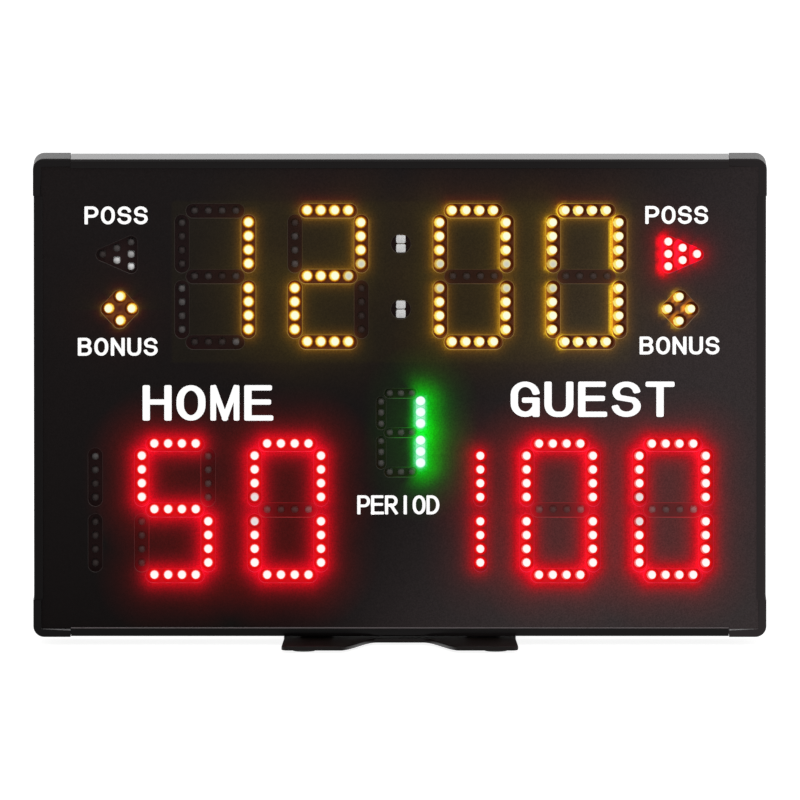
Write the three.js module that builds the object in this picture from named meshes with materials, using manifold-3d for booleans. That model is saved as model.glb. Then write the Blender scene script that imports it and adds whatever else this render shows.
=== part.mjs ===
// Table-top electronic scoreboard. LED digit boards stand behind a slotted black front, inside a frame of
// four aluminium rails with plastic corner pieces. The case leans back on two clamped lugs of a flat stand.
// Millimetres, +Z up. The front faces -Y, and the origin is on the table under the middle of the case.

import * as THREE from 'three';
import { mergeVertices } from 'three/addons/utils/BufferGeometryUtils.js';
import Module from 'manifold-3d';

const wasm = await Module();
wasm.setup();

// Case
const caseWidth = 520;
const caseHeight = 340;
const caseDepth = 57;
const caseClearance = 1.5;

// Fits
const fitGap = 0.3;
const overrun = 1;
const sink = 0.5;

// Frame rails
const railWall = 2;
const railRadius = 2.5;
const lipWidth = 6.2;
const lipThickness = 1.8;
const lipChamfer = 1.2;
const ribThickness = 1.5;
const ribRise = 2;

// Corner pieces
const cornerLeg = 26;
const cornerRadius = 6.5;
const cornerProud = 1;
const cornerFaceProud = 0.6;
const cornerBevel = 0.5;
const stemLength = 14;
const stemThickness = 3;

// Front panel and rear cover
const panelThickness = 2;
const coverThickness = 2;

// Places on the case: shares of its width from its middle, and shares of its height from its bottom edge
const acrossShares = {
  timer1: -0.2521,
  timer2: -0.0979,
  colon: 0.00135,
  timer3: 0.1006,
  timer4: 0.2548,
  homeHundreds: -0.416,
  homeTens: -0.3073,
  homeUnits: -0.1531,
  period: 0.00135,
  guestHundreds: 0.1102,
  guestTens: 0.2188,
  guestUnits: 0.3731,
  possession: 0.3865,
  bonus: 0.3825,
  switch: 0.395,
  horn: -0.31,
};
const riseShares = {
  timer: 0.7541,
  score: 0.2647,
  period: 0.4268,
  possession: 0.8,
  control: 0.6,
  tray: 0.15,
  horn: 0.265,
  switch: 0.175,
};

// Large digits, with the web between the round ends of two neighbouring slots and how it slants
const mainLedCount = 4;
const mainPitch = 9.8;
const mainSlotWidth = 10.2;
const mainSlotMargin = 6.1;
const mainSlotWeb = 0.83;
const mainWebShares = { across: 0.716, up: 0.698 };

// Period digit
const periodLedCount = 3;
const periodPitch = 8;
const periodSlotWidth = 7;
const periodSlotMargin = 3.9;
const periodSlotWeb = 0.96;
const periodWebShares = { across: 0.7036, up: 0.7098 };

// Colon, possession arrows and bonus diamonds
const colonDotRise = 23.3;
const colonHoleMargin = 0.45;
const colonLedPitch = 6.7;
const arrowColumnPitch = 10.2;
const arrowRowPitch = 8.8;
const arrowColumns = 3;
const arrowSlotRadius = 4.6;
const diamondHalfWidth = 8.2;
const diamondHalfHeight = 8.6;
const diamondSlotRadius = 5.2;
const bonusBoardGap = 6.2;

// LEDs and their boards
const ledRadius = 2.7;
const ledTipRadius = 2.2;
const ledLength = 8.6;
const ledRecess = 0.4;
const ledSides = 6;
const boardThickness = 1.6;
const boardMargin = 5;
const postRadius = 2;
const postInset = 3;
const postSides = 6;

// Control board and receiver module
const controlWidth = 130;
const controlHeight = 80;
const controlStandoff = 6;
const terminalWidth = 90;
const terminalHeight = 12;
const terminalDepth = 11;
const terminalDrop = 28;
const headerWidth = 22;
const headerHeight = 5;
const headerDepth = 8;
const headerRise = 22;
const receiverWidth = 34;
const receiverHeight = 24;
const receiverCanWidth = 20;
const receiverCanHeight = 14;
const receiverCanDepth = 3;

// Battery pack and its tray
const batteryWidth = 150;
const batteryHeight = 50;
const batteryBevel = 3;
const trayWall = 1.5;
const trayLipRise = 12;
const trayBoardGap = 4.3;

// Horn and its grille
const hornRadius = 21;
const hornDepth = 20;
const hornEarReach = 29;
const hornEarRadius = 5;
const hornEarThickness = 2;
const hornSides = 20;
const grilleSlotCount = 5;
const grilleSlotWidth = 3;
const grilleSlotLength = 26;
const grilleSlotPitch = 6;

// Power switch
const switchWellWidth = 9.6;
const switchWellHeight = 17;
const switchWellDepth = 9;
const switchSideWall = 1.5;
const switchEndWall = 1;
const switchFloor = 6;
const switchBezelSideLap = 1.2;
const switchBezelEndLap = 1.5;
const switchBezelThickness = 1.8;
const rockerEndClearance = 1.3;
const rockerEndRise = 2.4;
const rockerMiddleRise = 0.8;
const rockerSideDrop = 2;
const rockerRootHalfLength = 3;
const rockerRootDrop = 6;
const rockerAxisDrop = 1.5;
const rockerTurn = THREE.MathUtils.degToRad(11);

// Charging socket, beside the switch
const jackSpacing = 21;
const jackFlangeRadius = 6.5;
const jackFlangeThickness = 1.6;
const jackBarrelRadius = 4.7;
const jackBarrelLength = 14;
const jackBoreRadius = 3.3;
const jackBoreDepth = 10;
const jackNutRadius = 7.5;
const jackNutThickness = 3;
const jackSides = 16;
const nutSides = 6;

// Stand
const padHeight = 1.5;
const padRadius = 8;
const padSides = 16;
const padEdgeInset = 16;
const standThickness = 3;
const standWidth = 168;
const standReach = 60;
const standWaistInset = 1.5;
const lobeTipWidth = 42;
const lobeCornerRadius = 5;
const archFlatHalf = 16;
const archSteps = 8;
const rearArchLand = 26;

// Tilt lugs
const lugRadius = 8;
const lugThickness = 3;
const lugFootThickness = 2.5;
const lugFootWidth = 24;
const lugFootInset = 12.5;
const lugPlateWidth = 26;
const lugPlateHeight = 38;
const lugPlateThickness = 2.5;
const lugPlateEdge = 2;
const lugSides = 12;

// Clamp knobs
const knobRadius = 11;
const knobGripRadius = 2.6;
const knobGripCount = 6;
const knobThickness = 12;
const knobHubRadius = 6;
const knobHubLength = 3;
const knobCaseClearance = 2;
const knobFootClearance = 1.4;
const studRadius = 3;
const studClearance = 0.4;
const studOverhang = 4;
const knobSides = 16;

// Screws
const screwHeadRadius = 3.2;
const screwHeadHeight = 2;
const screwShankRadius = 1.6;
const screwClearance = 0.4;
const screwEnd = 2;
const screwSides = 10;

// Steps in a full turn of a slot's ends and of a larger rounded outline
const slotSteps = 8;
const roundSteps = 24;

// Worked-out places
const caseBottom = padHeight + standThickness + caseClearance;
const frontY = -caseDepth / 2;
const backY = caseDepth / 2;
const grooveWidth = panelThickness + 2 * fitGap;
const coverGrooveWidth = coverThickness + 2 * fitGap;
const panelFrontY = frontY + lipThickness + fitGap;
const panelBackY = panelFrontY + panelThickness;
const coverBackY = backY - lipThickness - fitGap;
const coverFrontY = coverBackY - coverThickness;
const boardFrontY = panelFrontY + ledRecess + ledLength;
const colonHoleRadius = colonLedPitch / 2 + ledRadius + colonHoleMargin;
const boardReach = boardMargin + ledRadius;
const standTopZ = padHeight + standThickness;
const lugReach = standWidth / 2 - lugFootInset - lugFootWidth;
const lugHoleRadius = studRadius + studClearance;
const screwHoleRadius = screwShankRadius + screwClearance;
const footScrewSeatZ = standTopZ + lugFootThickness + 2 * fitGap;
const pivotY = backY + knobCaseClearance + knobRadius;
const pivotRise = footScrewSeatZ + screwHeadHeight + knobFootClearance + knobRadius;
const switchBodyWidth = switchWellWidth + 2 * switchSideWall;
const switchBodyHeight = switchWellHeight + 2 * switchEndWall;
const switchBezelWidth = switchBodyWidth + 2 * switchBezelSideLap;
const switchBezelHeight = switchBodyHeight + 2 * switchBezelEndLap;
const switchX = caseWidth * acrossShares.switch;
const switchRise = caseHeight * riseShares.switch;
const jackX = switchX - switchBezelWidth / 2 - jackSpacing - jackFlangeRadius;
const hornX = caseWidth * acrossShares.horn;
const hornRise = caseHeight * riseShares.horn;

// Materials
const paint = (color, roughness, metalness) => new THREE.MeshStandardMaterial({ color, roughness, metalness });
const blackAnodised = paint('#17171a', 0.42, 0.6);
const blackPlastic = paint('#1d1d1f', 0.5, 0);
const blackFront = paint('#1f1c1d', 0.6, 0.1);
const boardResin = paint('#1c1818', 0.55, 0);
const greenBoard = paint('#1f4a2c', 0.5, 0);
const batteryWrap = paint('#2b3a63', 0.45, 0);
const trayMetal = paint('#9a9da1', 0.4, 1);
const standPaint = paint('#0c0c0d', 0.15, 0.2);
const padRubber = paint('#1a1a1a', 0.9, 0);
const zincSteel = paint('#8d8f92', 0.35, 1);
const nickelPlate = paint('#b4b4b0', 0.3, 1);

// A closed solid from a geometry whose shared corners are merged
function solid(geometry) {
  geometry.deleteAttribute('normal');
  geometry.deleteAttribute('uv');
  const merged = mergeVertices(geometry);
  return new wasm.Manifold(new wasm.Mesh({
    numProp: 3,
    vertProperties: Float32Array.from(merged.getAttribute('position').array),
    triVerts: Uint32Array.from(merged.index.array),
  }));
}

function geometryOf(body) {
  const mesh = body.getMesh();
  const geometry = new THREE.BufferGeometry();
  geometry.setAttribute('position', new THREE.BufferAttribute(mesh.vertProperties, 3));
  geometry.setIndex(new THREE.BufferAttribute(mesh.triVerts, 1));
  geometry.computeVertexNormals();
  return geometry;
}

// A box between two values on each axis
function block([x0, x1], [y0, y1], [z0, z1]) {
  const geometry = new THREE.BoxGeometry(x1 - x0, y1 - y0, z1 - z0);
  geometry.translate((x0 + x1) / 2, (y0 + y1) / 2, (z0 + z1) / 2);
  return solid(geometry);
}

// How an outline's two directions and its depth lie in the part, by the axis that it is drawn out along
const xAxis = new THREE.Vector3(1, 0, 0);
const yAxis = new THREE.Vector3(0, 1, 0);
const zAxis = new THREE.Vector3(0, 0, 1);
const layings = {
  x: new THREE.Matrix4().makeBasis(yAxis, zAxis, xAxis),
  y: new THREE.Matrix4().makeBasis(xAxis, zAxis, yAxis.clone().negate()),
  z: new THREE.Matrix4(),
};

// An outline drawn out along an axis from one value to another, with holes and a bevel if given
function drawnOut(outline, axis, from, to, { holes = [], bevel = 0 } = {}) {
  const shape = new THREE.Shape(outline);
  shape.holes = holes.map((hole) => new THREE.Path(hole));
  const geometry = new THREE.ExtrudeGeometry(shape, {
    depth: to - from - 2 * bevel,
    bevelEnabled: bevel > 0,
    bevelThickness: bevel,
    bevelSize: bevel,
    bevelOffset: -bevel,
    bevelSegments: 1,
  });
  geometry.translate(0, 0, bevel);
  geometry.applyMatrix4(layings[axis]);
  const start = { x: [from, 0, 0], y: [0, to, 0], z: [0, 0, from] }[axis];
  geometry.translate(...start);
  return solid(geometry);
}

// A round bar along an axis, which may be narrower at its start
function bar(axis, from, to, radius, sides, startRadius = radius) {
  const geometry = new THREE.CylinderGeometry(radius, startRadius, to - from, sides);
  geometry.translate(0, (from + to) / 2, 0);
  if (axis === 'x') geometry.rotateZ(-Math.PI / 2);
  if (axis === 'z') geometry.rotateX(Math.PI / 2);
  return solid(geometry);
}

// Corners given anticlockwise, each rounded outward by a radius: two corners give a slot, one a circle
function roundedOutline(corners, radius, steps = roundSteps) {
  const outline = [];
  corners.forEach((corner, index) => {
    const before = corners.at(index - 1);
    const after = corners[(index + 1) % corners.length];
    const start = Math.atan2(corner.y - before.y, corner.x - before.x) - Math.PI / 2;
    let end = Math.atan2(after.y - corner.y, after.x - corner.x) - Math.PI / 2;
    if (end <= start) end += 2 * Math.PI;
    const count = Math.max(1, Math.round(steps * (end - start) / (2 * Math.PI)));
    const closing = corners.length === 1 ? 1 : 0;
    for (let step = 0; step <= count - closing; step += 1) {
      const angle = start + (end - start) * step / count;
      outline.push(new THREE.Vector2(corner.x + radius * Math.cos(angle), corner.y + radius * Math.sin(angle)));
    }
  });
  return outline;
}

// Points in an outline's plane
const at = (x, y) => new THREE.Vector2(x, y);
const shifted = (outline, x, y) => outline.map((point) => at(point.x + x, point.y + y));
const rectangle = ([x0, x1], [y0, y1]) => [at(x0, y0), at(x1, y0), at(x1, y1), at(x0, y1)];

const scoreboard = new THREE.Group();
const caseGroup = new THREE.Group();
caseGroup.position.z = caseBottom;
scoreboard.add(caseGroup);

// Adds a named piece to a group at a place, turned about its own axes if need be
function addPiece(group, name, body, material, place = [0, 0, 0], turn = [0, 0, 0]) {
  const mesh = new THREE.Mesh(geometryOf(body), material);
  mesh.name = name;
  mesh.position.set(...place);
  mesh.rotation.set(...turn);
  group.add(mesh);
}

// Frame rails: the outer face lies at zero height and the channel opens upward
function railSection() {
  const ribTop = railWall + ribRise;
  const frontRib = frontY + lipThickness + grooveWidth;
  const backRib = backY - lipThickness - coverGrooveWidth;
  const arcSteps = 3;
  const outline = [];
  for (let step = 0; step <= arcSteps; step += 1) {
    const angle = Math.PI + Math.PI / 2 * step / arcSteps;
    outline.push(at(frontY + railRadius * (1 + Math.cos(angle)), railRadius * (1 + Math.sin(angle))));
  }
  for (let step = 0; step <= arcSteps; step += 1) {
    const angle = -Math.PI / 2 + Math.PI / 2 * step / arcSteps;
    outline.push(at(backY - railRadius * (1 - Math.cos(angle)), railRadius * (1 + Math.sin(angle))));
  }
  outline.push(at(backY, lipWidth));
  outline.push(at(backY - lipThickness, lipWidth));
  outline.push(at(backY - lipThickness, railWall));
  outline.push(at(backRib, railWall));
  outline.push(at(backRib, ribTop));
  outline.push(at(backRib - ribThickness, ribTop));
  outline.push(at(backRib - ribThickness, railWall));
  outline.push(at(frontRib + ribThickness, railWall));
  outline.push(at(frontRib + ribThickness, ribTop));
  outline.push(at(frontRib, ribTop));
  outline.push(at(frontRib, railWall));
  outline.push(at(frontY + lipThickness, railWall));
  outline.push(at(frontY + lipThickness, lipWidth));
  outline.push(at(frontY + lipChamfer, lipWidth));
  outline.push(at(frontY, lipWidth - lipChamfer));
  return outline;
}

function addRails() {
  const section = railSection();
  const across = caseWidth - 2 * (cornerLeg + fitGap);
  const upright = caseHeight - 2 * (cornerLeg + fitGap);
  const rail = (length) => drawnOut(section, 'x', -length / 2, length / 2);
  addPiece(caseGroup, 'frame_rail_bottom', rail(across), blackAnodised);
  addPiece(caseGroup, 'frame_rail_top', rail(across), blackAnodised, [0, 0, caseHeight], [0, Math.PI, 0]);
  addPiece(caseGroup, 'frame_rail_left', rail(upright), blackAnodised,
    [-caseWidth / 2, 0, caseHeight / 2], [0, Math.PI / 2, 0]);
  addPiece(caseGroup, 'frame_rail_right', rail(upright), blackAnodised,
    [caseWidth / 2, 0, caseHeight / 2], [0, -Math.PI / 2, 0]);
}

// A corner piece: an L of rail-like section whose two stems plug into the rails beside it
function cornerPiece() {
  const arcCentre = cornerRadius - cornerProud;
  const arcSteps = 6;
  const outline = [];
  for (let step = 0; step <= arcSteps; step += 1) {
    const angle = Math.PI + Math.PI / 2 * step / arcSteps;
    outline.push(at(arcCentre + cornerRadius * Math.cos(angle), arcCentre + cornerRadius * Math.sin(angle)));
  }
  outline.push(at(cornerLeg, -cornerProud));
  outline.push(at(cornerLeg, lipWidth));
  outline.push(at(lipWidth, lipWidth));
  outline.push(at(lipWidth, cornerLeg));
  outline.push(at(-cornerProud, cornerLeg));
  const shell = drawnOut(outline, 'y', frontY - cornerFaceProud, backY + cornerFaceProud, { bevel: cornerBevel });
  const hollow = [railWall, cornerLeg + overrun];
  const hollowDepth = [frontY + lipThickness, backY - lipThickness];
  let body = shell.subtract(block(hollow, hollowDepth, hollow));
  const stemFront = frontY + lipThickness + grooveWidth + ribThickness + fitGap;
  const stemBack = backY - lipThickness - coverGrooveWidth - ribThickness - fitGap;
  const stemHeights = [railWall + fitGap, railWall + fitGap + stemThickness];
  const rootHeights = [railWall - sink, stemHeights[1]];
  const stemRun = [railWall - sink, cornerLeg + fitGap + stemLength];
  const rootRun = [railWall - sink, cornerLeg - cornerBevel];
  const stemDepth = [stemFront, stemBack];
  body = body.add(block(stemRun, stemDepth, stemHeights)).add(block(rootRun, stemDepth, rootHeights));
  body = body.add(block(stemHeights, stemDepth, stemRun)).add(block(rootHeights, stemDepth, rootRun));
  return body;
}

function addCorners() {
  const places = [
    ['corner_bottom_left', -caseWidth / 2, 0, 0],
    ['corner_bottom_right', caseWidth / 2, 0, -Math.PI / 2],
    ['corner_top_right', caseWidth / 2, caseHeight, Math.PI],
    ['corner_top_left', -caseWidth / 2, caseHeight, Math.PI / 2],
  ];
  places.forEach(([name, x, z, turn]) => {
    addPiece(caseGroup, name, cornerPiece(), blackPlastic, [x, 0, z], [0, turn, 0]);
  });
}

// Digit styles: a segment is a straight row of LEDs in its own slot
const mainStyle = {
  count: mainLedCount, pitch: mainPitch, slotWidth: mainSlotWidth, slotMargin: mainSlotMargin,
  slotWeb: mainSlotWeb, webShares: mainWebShares,
};
const periodStyle = {
  count: periodLedCount, pitch: periodPitch, slotWidth: periodSlotWidth, slotMargin: periodSlotMargin,
  slotWeb: periodSlotWeb, webShares: periodWebShares,
};

// From a segment's middle to its last LED and to the middle of its slot's round end, and from a digit's
// middle to its columns and to the middles of its upright segments
function reaches(style) {
  const led = (style.count - 1) * style.pitch / 2;
  const end = led + style.slotMargin - style.slotWidth / 2;
  const step = style.slotWidth + style.slotWeb;
  return { led, end, column: end + step * style.webShares.across, upright: end + step * style.webShares.up };
}

// The LEDs and the slot of one segment, about its digit's middle
function segment(style, x, z, upright) {
  const { led, end } = reaches(style);
  const leds = Array.from({ length: style.count }, (_, index) => {
    const along = index * style.pitch - led;
    return upright ? at(x, z + along) : at(x + along, z);
  });
  const ends = upright ? [at(x, z - end), at(x, z + end)] : [at(x - end, z), at(x + end, z)];
  return { leds, slot: roundedOutline(ends, style.slotWidth / 2, slotSteps) };
}

// Seven segments, or the two that make a one
function digit(style) {
  const { column, upright } = reaches(style);
  const rows = [-2 * upright, 0, 2 * upright].map((z) => segment(style, 0, z, false));
  const columns = [-column, column].flatMap((x) => [-upright, upright].map((z) => segment(style, x, z, true)));
  return [...rows, ...columns];
}
const leadingOne = (style) => [-1, 1].map((side) => segment(style, 0, side * reaches(style).upright, true));

// Two round holes with a pair of LEDs in each
function colon() {
  return [-colonDotRise, colonDotRise].map((z) => ({
    leds: [at(0, z - colonLedPitch / 2), at(0, z + colonLedPitch / 2)],
    slot: roundedOutline([at(0, z)], colonHoleRadius, 2 * slotSteps),
  }));
}

// A triangle of LEDs that points to one side, with a rounded triangular slot
function arrow(side) {
  const leds = [];
  const half = (arrowColumns - 1) / 2;
  for (let column = 0; column < arrowColumns; column += 1) {
    const inColumn = arrowColumns - column;
    for (let row = 0; row < inColumn; row += 1) {
      leds.push(at(side * (column - half) * arrowColumnPitch, (row - (inColumn - 1) / 2) * arrowRowPitch));
    }
  }
  const low = at(-side * half * arrowColumnPitch, -half * arrowRowPitch);
  const high = at(-side * half * arrowColumnPitch, half * arrowRowPitch);
  const tip = at(side * half * arrowColumnPitch, 0);
  const corners = side > 0 ? [low, tip, high] : [low, high, tip];
  return [{ leds, slot: roundedOutline(corners, arrowSlotRadius, slotSteps) }];
}

// Four LEDs in a rounded diamond
function diamond() {
  const corners = [
    at(0, -diamondHalfHeight), at(diamondHalfWidth, 0), at(0, diamondHalfHeight), at(-diamondHalfWidth, 0),
  ];
  return [{ leds: corners, slot: roundedOutline(corners, diamondSlotRadius, slotSteps) }];
}

// The bonus boards hang a small gap below the possession boards
const arrowBoardReach = (arrowColumns - 1) / 2 * arrowRowPitch + boardReach;
const diamondBoardReach = diamondHalfHeight + boardReach;
const possessionHeight = caseHeight * riseShares.possession;
const bonusHeight = possessionHeight - arrowBoardReach - bonusBoardGap - diamondBoardReach;

// What shows in the front, with the middle of each display above the bottom edge of the case
const timerHeight = caseHeight * riseShares.timer;
const scoreHeight = caseHeight * riseShares.score;
const periodHeight = caseHeight * riseShares.period;
const displays = [
  ['timer_digit_1', caseWidth * acrossShares.timer1, timerHeight, digit(mainStyle)],
  ['timer_digit_2', caseWidth * acrossShares.timer2, timerHeight, digit(mainStyle)],
  ['timer_colon', caseWidth * acrossShares.colon, timerHeight, colon()],
  ['timer_digit_3', caseWidth * acrossShares.timer3, timerHeight, digit(mainStyle)],
  ['timer_digit_4', caseWidth * acrossShares.timer4, timerHeight, digit(mainStyle)],
  ['home_hundreds', caseWidth * acrossShares.homeHundreds, scoreHeight, leadingOne(mainStyle)],
  ['home_tens', caseWidth * acrossShares.homeTens, scoreHeight, digit(mainStyle)],
  ['home_units', caseWidth * acrossShares.homeUnits, scoreHeight, digit(mainStyle)],
  ['guest_hundreds', caseWidth * acrossShares.guestHundreds, scoreHeight, leadingOne(mainStyle)],
  ['guest_tens', caseWidth * acrossShares.guestTens, scoreHeight, digit(mainStyle)],
  ['guest_units', caseWidth * acrossShares.guestUnits, scoreHeight, digit(mainStyle)],
  ['period_digit', caseWidth * acrossShares.period, periodHeight, digit(periodStyle)],
  ['possession_left', -caseWidth * acrossShares.possession, possessionHeight, arrow(-1)],
  ['possession_right', caseWidth * acrossShares.possession, possessionHeight, arrow(1)],
  ['bonus_left', -caseWidth * acrossShares.bonus, bonusHeight, diamond()],
  ['bonus_right', caseWidth * acrossShares.bonus, bonusHeight, diamond()],
];

// The front panel, cut through where the LEDs stand
function addFrontPanel() {
  const halfWidth = caseWidth / 2 - railWall - fitGap;
  const edge = railWall + fitGap;
  const outline = rectangle([-halfWidth, halfWidth], [edge, caseHeight - edge]);
  const holes = displays.flatMap(([, x, z, cells]) => cells.map((cell) => shifted(cell.slot, x, z)));
  addPiece(caseGroup, 'front_panel', drawnOut(outline, 'y', panelFrontY, panelBackY, { holes }), blackFront);
}

// One display's board with its LEDs, and spacer posts that meet the back of the front panel
function ledBoard(cells) {
  const leds = cells.flatMap((cell) => cell.leds);
  const reachX = Math.max(...leds.map((led) => Math.abs(led.x))) + boardReach;
  const reachZ = Math.max(...leds.map((led) => Math.abs(led.y))) + boardReach;
  let body = block([-reachX, reachX], [0, boardThickness], [-reachZ, reachZ]);
  leds.forEach((led) => {
    const lamp = bar('y', -ledLength, sink, ledRadius, ledSides, ledTipRadius);
    body = body.add(lamp.translate([led.x, 0, led.y]));
  });
  const postLength = boardFrontY - panelBackY - fitGap;
  [-1, 1].forEach((sideZ) => {
    const sidesX = reachX > 2 * postInset + postRadius ? [-1, 1] : [0];
    sidesX.forEach((sideX) => {
      const post = bar('y', -postLength, sink, postRadius, postSides);
      body = body.add(post.translate([sideX * (reachX - postInset), 0, sideZ * (reachZ - postInset)]));
    });
  });
  return body;
}

function addDisplays() {
  displays.forEach(([name, x, z, cells]) => {
    addPiece(caseGroup, name, ledBoard(cells), boardResin, [x, boardFrontY, z]);
  });
}

// Where the case-side lugs are screwed on, each side of the middle
const lugPlateInner = lugReach - fitGap - lugPlateWidth;
const lugScrewX = lugPlateInner + (lugPlateWidth - lugThickness) / 2;
const lugScrewRises = [lipWidth + fitGap + screwHeadRadius + lugPlateEdge, lugPlateHeight - screwHeadRadius];

// The rear cover, with the horn's grille and the holes for the switch, the socket and the lug screws
function addRearCover() {
  const halfWidth = caseWidth / 2 - railWall - fitGap;
  const edge = railWall + fitGap;
  const outline = rectangle([-halfWidth, halfWidth], [edge, caseHeight - edge]);
  const holes = [];
  const switchHalfWidth = switchBodyWidth / 2 + fitGap;
  const switchHalfHeight = switchBodyHeight / 2 + fitGap;
  holes.push(rectangle(
    [switchX - switchHalfWidth, switchX + switchHalfWidth],
    [switchRise - switchHalfHeight, switchRise + switchHalfHeight],
  ));
  holes.push(roundedOutline([at(jackX, switchRise)], jackBarrelRadius + fitGap, jackSides));
  for (let slot = 0; slot < grilleSlotCount; slot += 1) {
    const z = hornRise + (slot - (grilleSlotCount - 1) / 2) * grilleSlotPitch;
    const half = (grilleSlotLength - grilleSlotWidth) / 2;
    holes.push(roundedOutline([at(hornX - half, z), at(hornX + half, z)], grilleSlotWidth / 2, slotSteps));
  }
  [-1, 1].forEach((side) => lugScrewRises.forEach((rise) => {
    holes.push(roundedOutline([at(side * lugScrewX, rise)], screwHoleRadius, screwSides));
  }));
  addPiece(caseGroup, 'rear_cover', drawnOut(outline, 'y', coverFrontY, coverBackY, { holes }), blackAnodised);
}

// The control board on posts from the rear cover, with its terminal strip, header and receiver module
function addControls() {
  const controlRise = caseHeight * riseShares.control;
  const backFace = coverFrontY - fitGap - controlStandoff;
  const frontFace = backFace - boardThickness;
  const halfWidth = controlWidth / 2;
  const halfHeight = controlHeight / 2;
  let body = block([-halfWidth, halfWidth], [frontFace, backFace], [-halfHeight, halfHeight]);
  body = body.add(block([-terminalWidth / 2, terminalWidth / 2], [frontFace - terminalDepth, frontFace + sink],
    [-terminalDrop - terminalHeight / 2, -terminalDrop + terminalHeight / 2]));
  body = body.add(block([-headerWidth / 2, headerWidth / 2], [frontFace - headerDepth, frontFace + sink],
    [headerRise - headerHeight / 2, headerRise + headerHeight / 2]));
  [-1, 1].forEach((sideX) => [-1, 1].forEach((sideZ) => {
    const post = bar('y', backFace - sink, backFace + controlStandoff, postRadius, postSides);
    body = body.add(post.translate([sideX * (halfWidth - postInset), 0, sideZ * (halfHeight - postInset)]));
  }));
  addPiece(caseGroup, 'control_board', body, greenBoard, [0, 0, controlRise]);

  const receiverBack = frontFace - headerDepth - fitGap;
  const receiverFront = receiverBack - boardThickness;
  const receiver = block([-receiverWidth / 2, receiverWidth / 2], [receiverFront, receiverBack],
    [-receiverHeight / 2, receiverHeight / 2]);
  const can = block([-receiverCanWidth / 2, receiverCanWidth / 2], [receiverFront - receiverCanDepth,
    receiverFront + sink], [-receiverCanHeight / 2, receiverCanHeight / 2]);
  addPiece(caseGroup, 'receiver_module', receiver.add(can), greenBoard, [0, 0, controlRise + headerRise]);
}

// The battery pack in a bent tray that is fixed to the rear cover
function addBattery() {
  const trayRise = caseHeight * riseShares.tray;
  const trayBack = coverFrontY - fitGap;
  const trayFront = boardFrontY + boardThickness + trayBoardGap;
  const batteryBack = trayBack - trayWall - fitGap;
  const batteryFront = trayFront + trayWall + fitGap;
  const section = [
    at(trayFront, 0),
    at(trayBack, 0),
    at(trayBack, trayWall + batteryHeight),
    at(trayBack - trayWall, trayWall + batteryHeight),
    at(trayBack - trayWall, trayWall),
    at(trayFront + trayWall, trayWall),
    at(trayFront + trayWall, trayWall + trayLipRise),
    at(trayFront, trayWall + trayLipRise),
  ];
  const half = batteryWidth / 2;
  addPiece(caseGroup, 'battery_tray', drawnOut(section, 'x', -half, half), trayMetal, [0, 0, trayRise]);
  const outline = rectangle([-half, half], [0, batteryHeight]);
  const pack = drawnOut(outline, 'y', batteryFront, batteryBack, { bevel: batteryBevel });
  addPiece(caseGroup, 'battery_pack', pack, batteryWrap, [0, 0, trayRise + trayWall + fitGap]);
}

// The horn behind its grille, with two ears flat on the rear cover
function addHorn() {
  const seat = coverFrontY - fitGap;
  let body = bar('y', seat - hornDepth, seat, hornRadius, hornSides);
  const ears = roundedOutline([at(-hornEarReach, 0), at(hornEarReach, 0)], hornEarRadius, slotSteps);
  body = body.add(drawnOut(ears, 'y', seat - hornEarThickness, seat));
  addPiece(caseGroup, 'horn', body, blackPlastic, [hornX, 0, hornRise]);
}

// The rocker switch: its well is open to the back, and the rocker turns about a cross axis inside it
function addSwitch() {
  const bezelFront = coverBackY + fitGap;
  const bezelBack = bezelFront + switchBezelThickness;
  const halfBezelWidth = switchBezelWidth / 2;
  const halfBezelHeight = switchBezelHeight / 2;
  const halfBodyWidth = switchBodyWidth / 2;
  const halfBodyHeight = switchBodyHeight / 2;
  const halfWellWidth = switchWellWidth / 2;
  const halfWellHeight = switchWellHeight / 2;
  let housing = block([-halfBezelWidth, halfBezelWidth], [bezelFront, bezelBack],
    [-halfBezelHeight, halfBezelHeight]);
  const bodyFront = bezelBack - switchWellDepth - switchFloor;
  housing = housing.add(block([-halfBodyWidth, halfBodyWidth], [bodyFront, bezelFront + sink],
    [-halfBodyHeight, halfBodyHeight]));
  housing = housing.subtract(block([-halfWellWidth, halfWellWidth],
    [bezelBack - switchWellDepth, bezelBack + overrun], [-halfWellHeight, halfWellHeight]));
  addPiece(caseGroup, 'switch_housing', housing, blackPlastic, [switchX, 0, switchRise]);

  const rise = rockerAxisDrop;
  const rockerHalfLength = halfWellHeight - rockerEndClearance;
  const profile = [
    at(rise + rockerEndRise, -rockerHalfLength),
    at(rise + rockerMiddleRise, 0),
    at(rise + rockerEndRise, rockerHalfLength),
    at(rise - rockerSideDrop, rockerHalfLength),
    at(rise - rockerRootDrop, rockerRootHalfLength),
    at(rise - rockerRootDrop, -rockerRootHalfLength),
    at(rise - rockerSideDrop, -rockerHalfLength),
  ].reverse();
  const halfRocker = halfWellWidth - fitGap;
  const rocker = drawnOut(profile, 'x', -halfRocker, halfRocker);
  addPiece(caseGroup, 'switch_rocker', rocker, blackPlastic,
    [switchX, bezelBack - rockerAxisDrop, switchRise], [-rockerTurn, 0, 0]);
}

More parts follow.
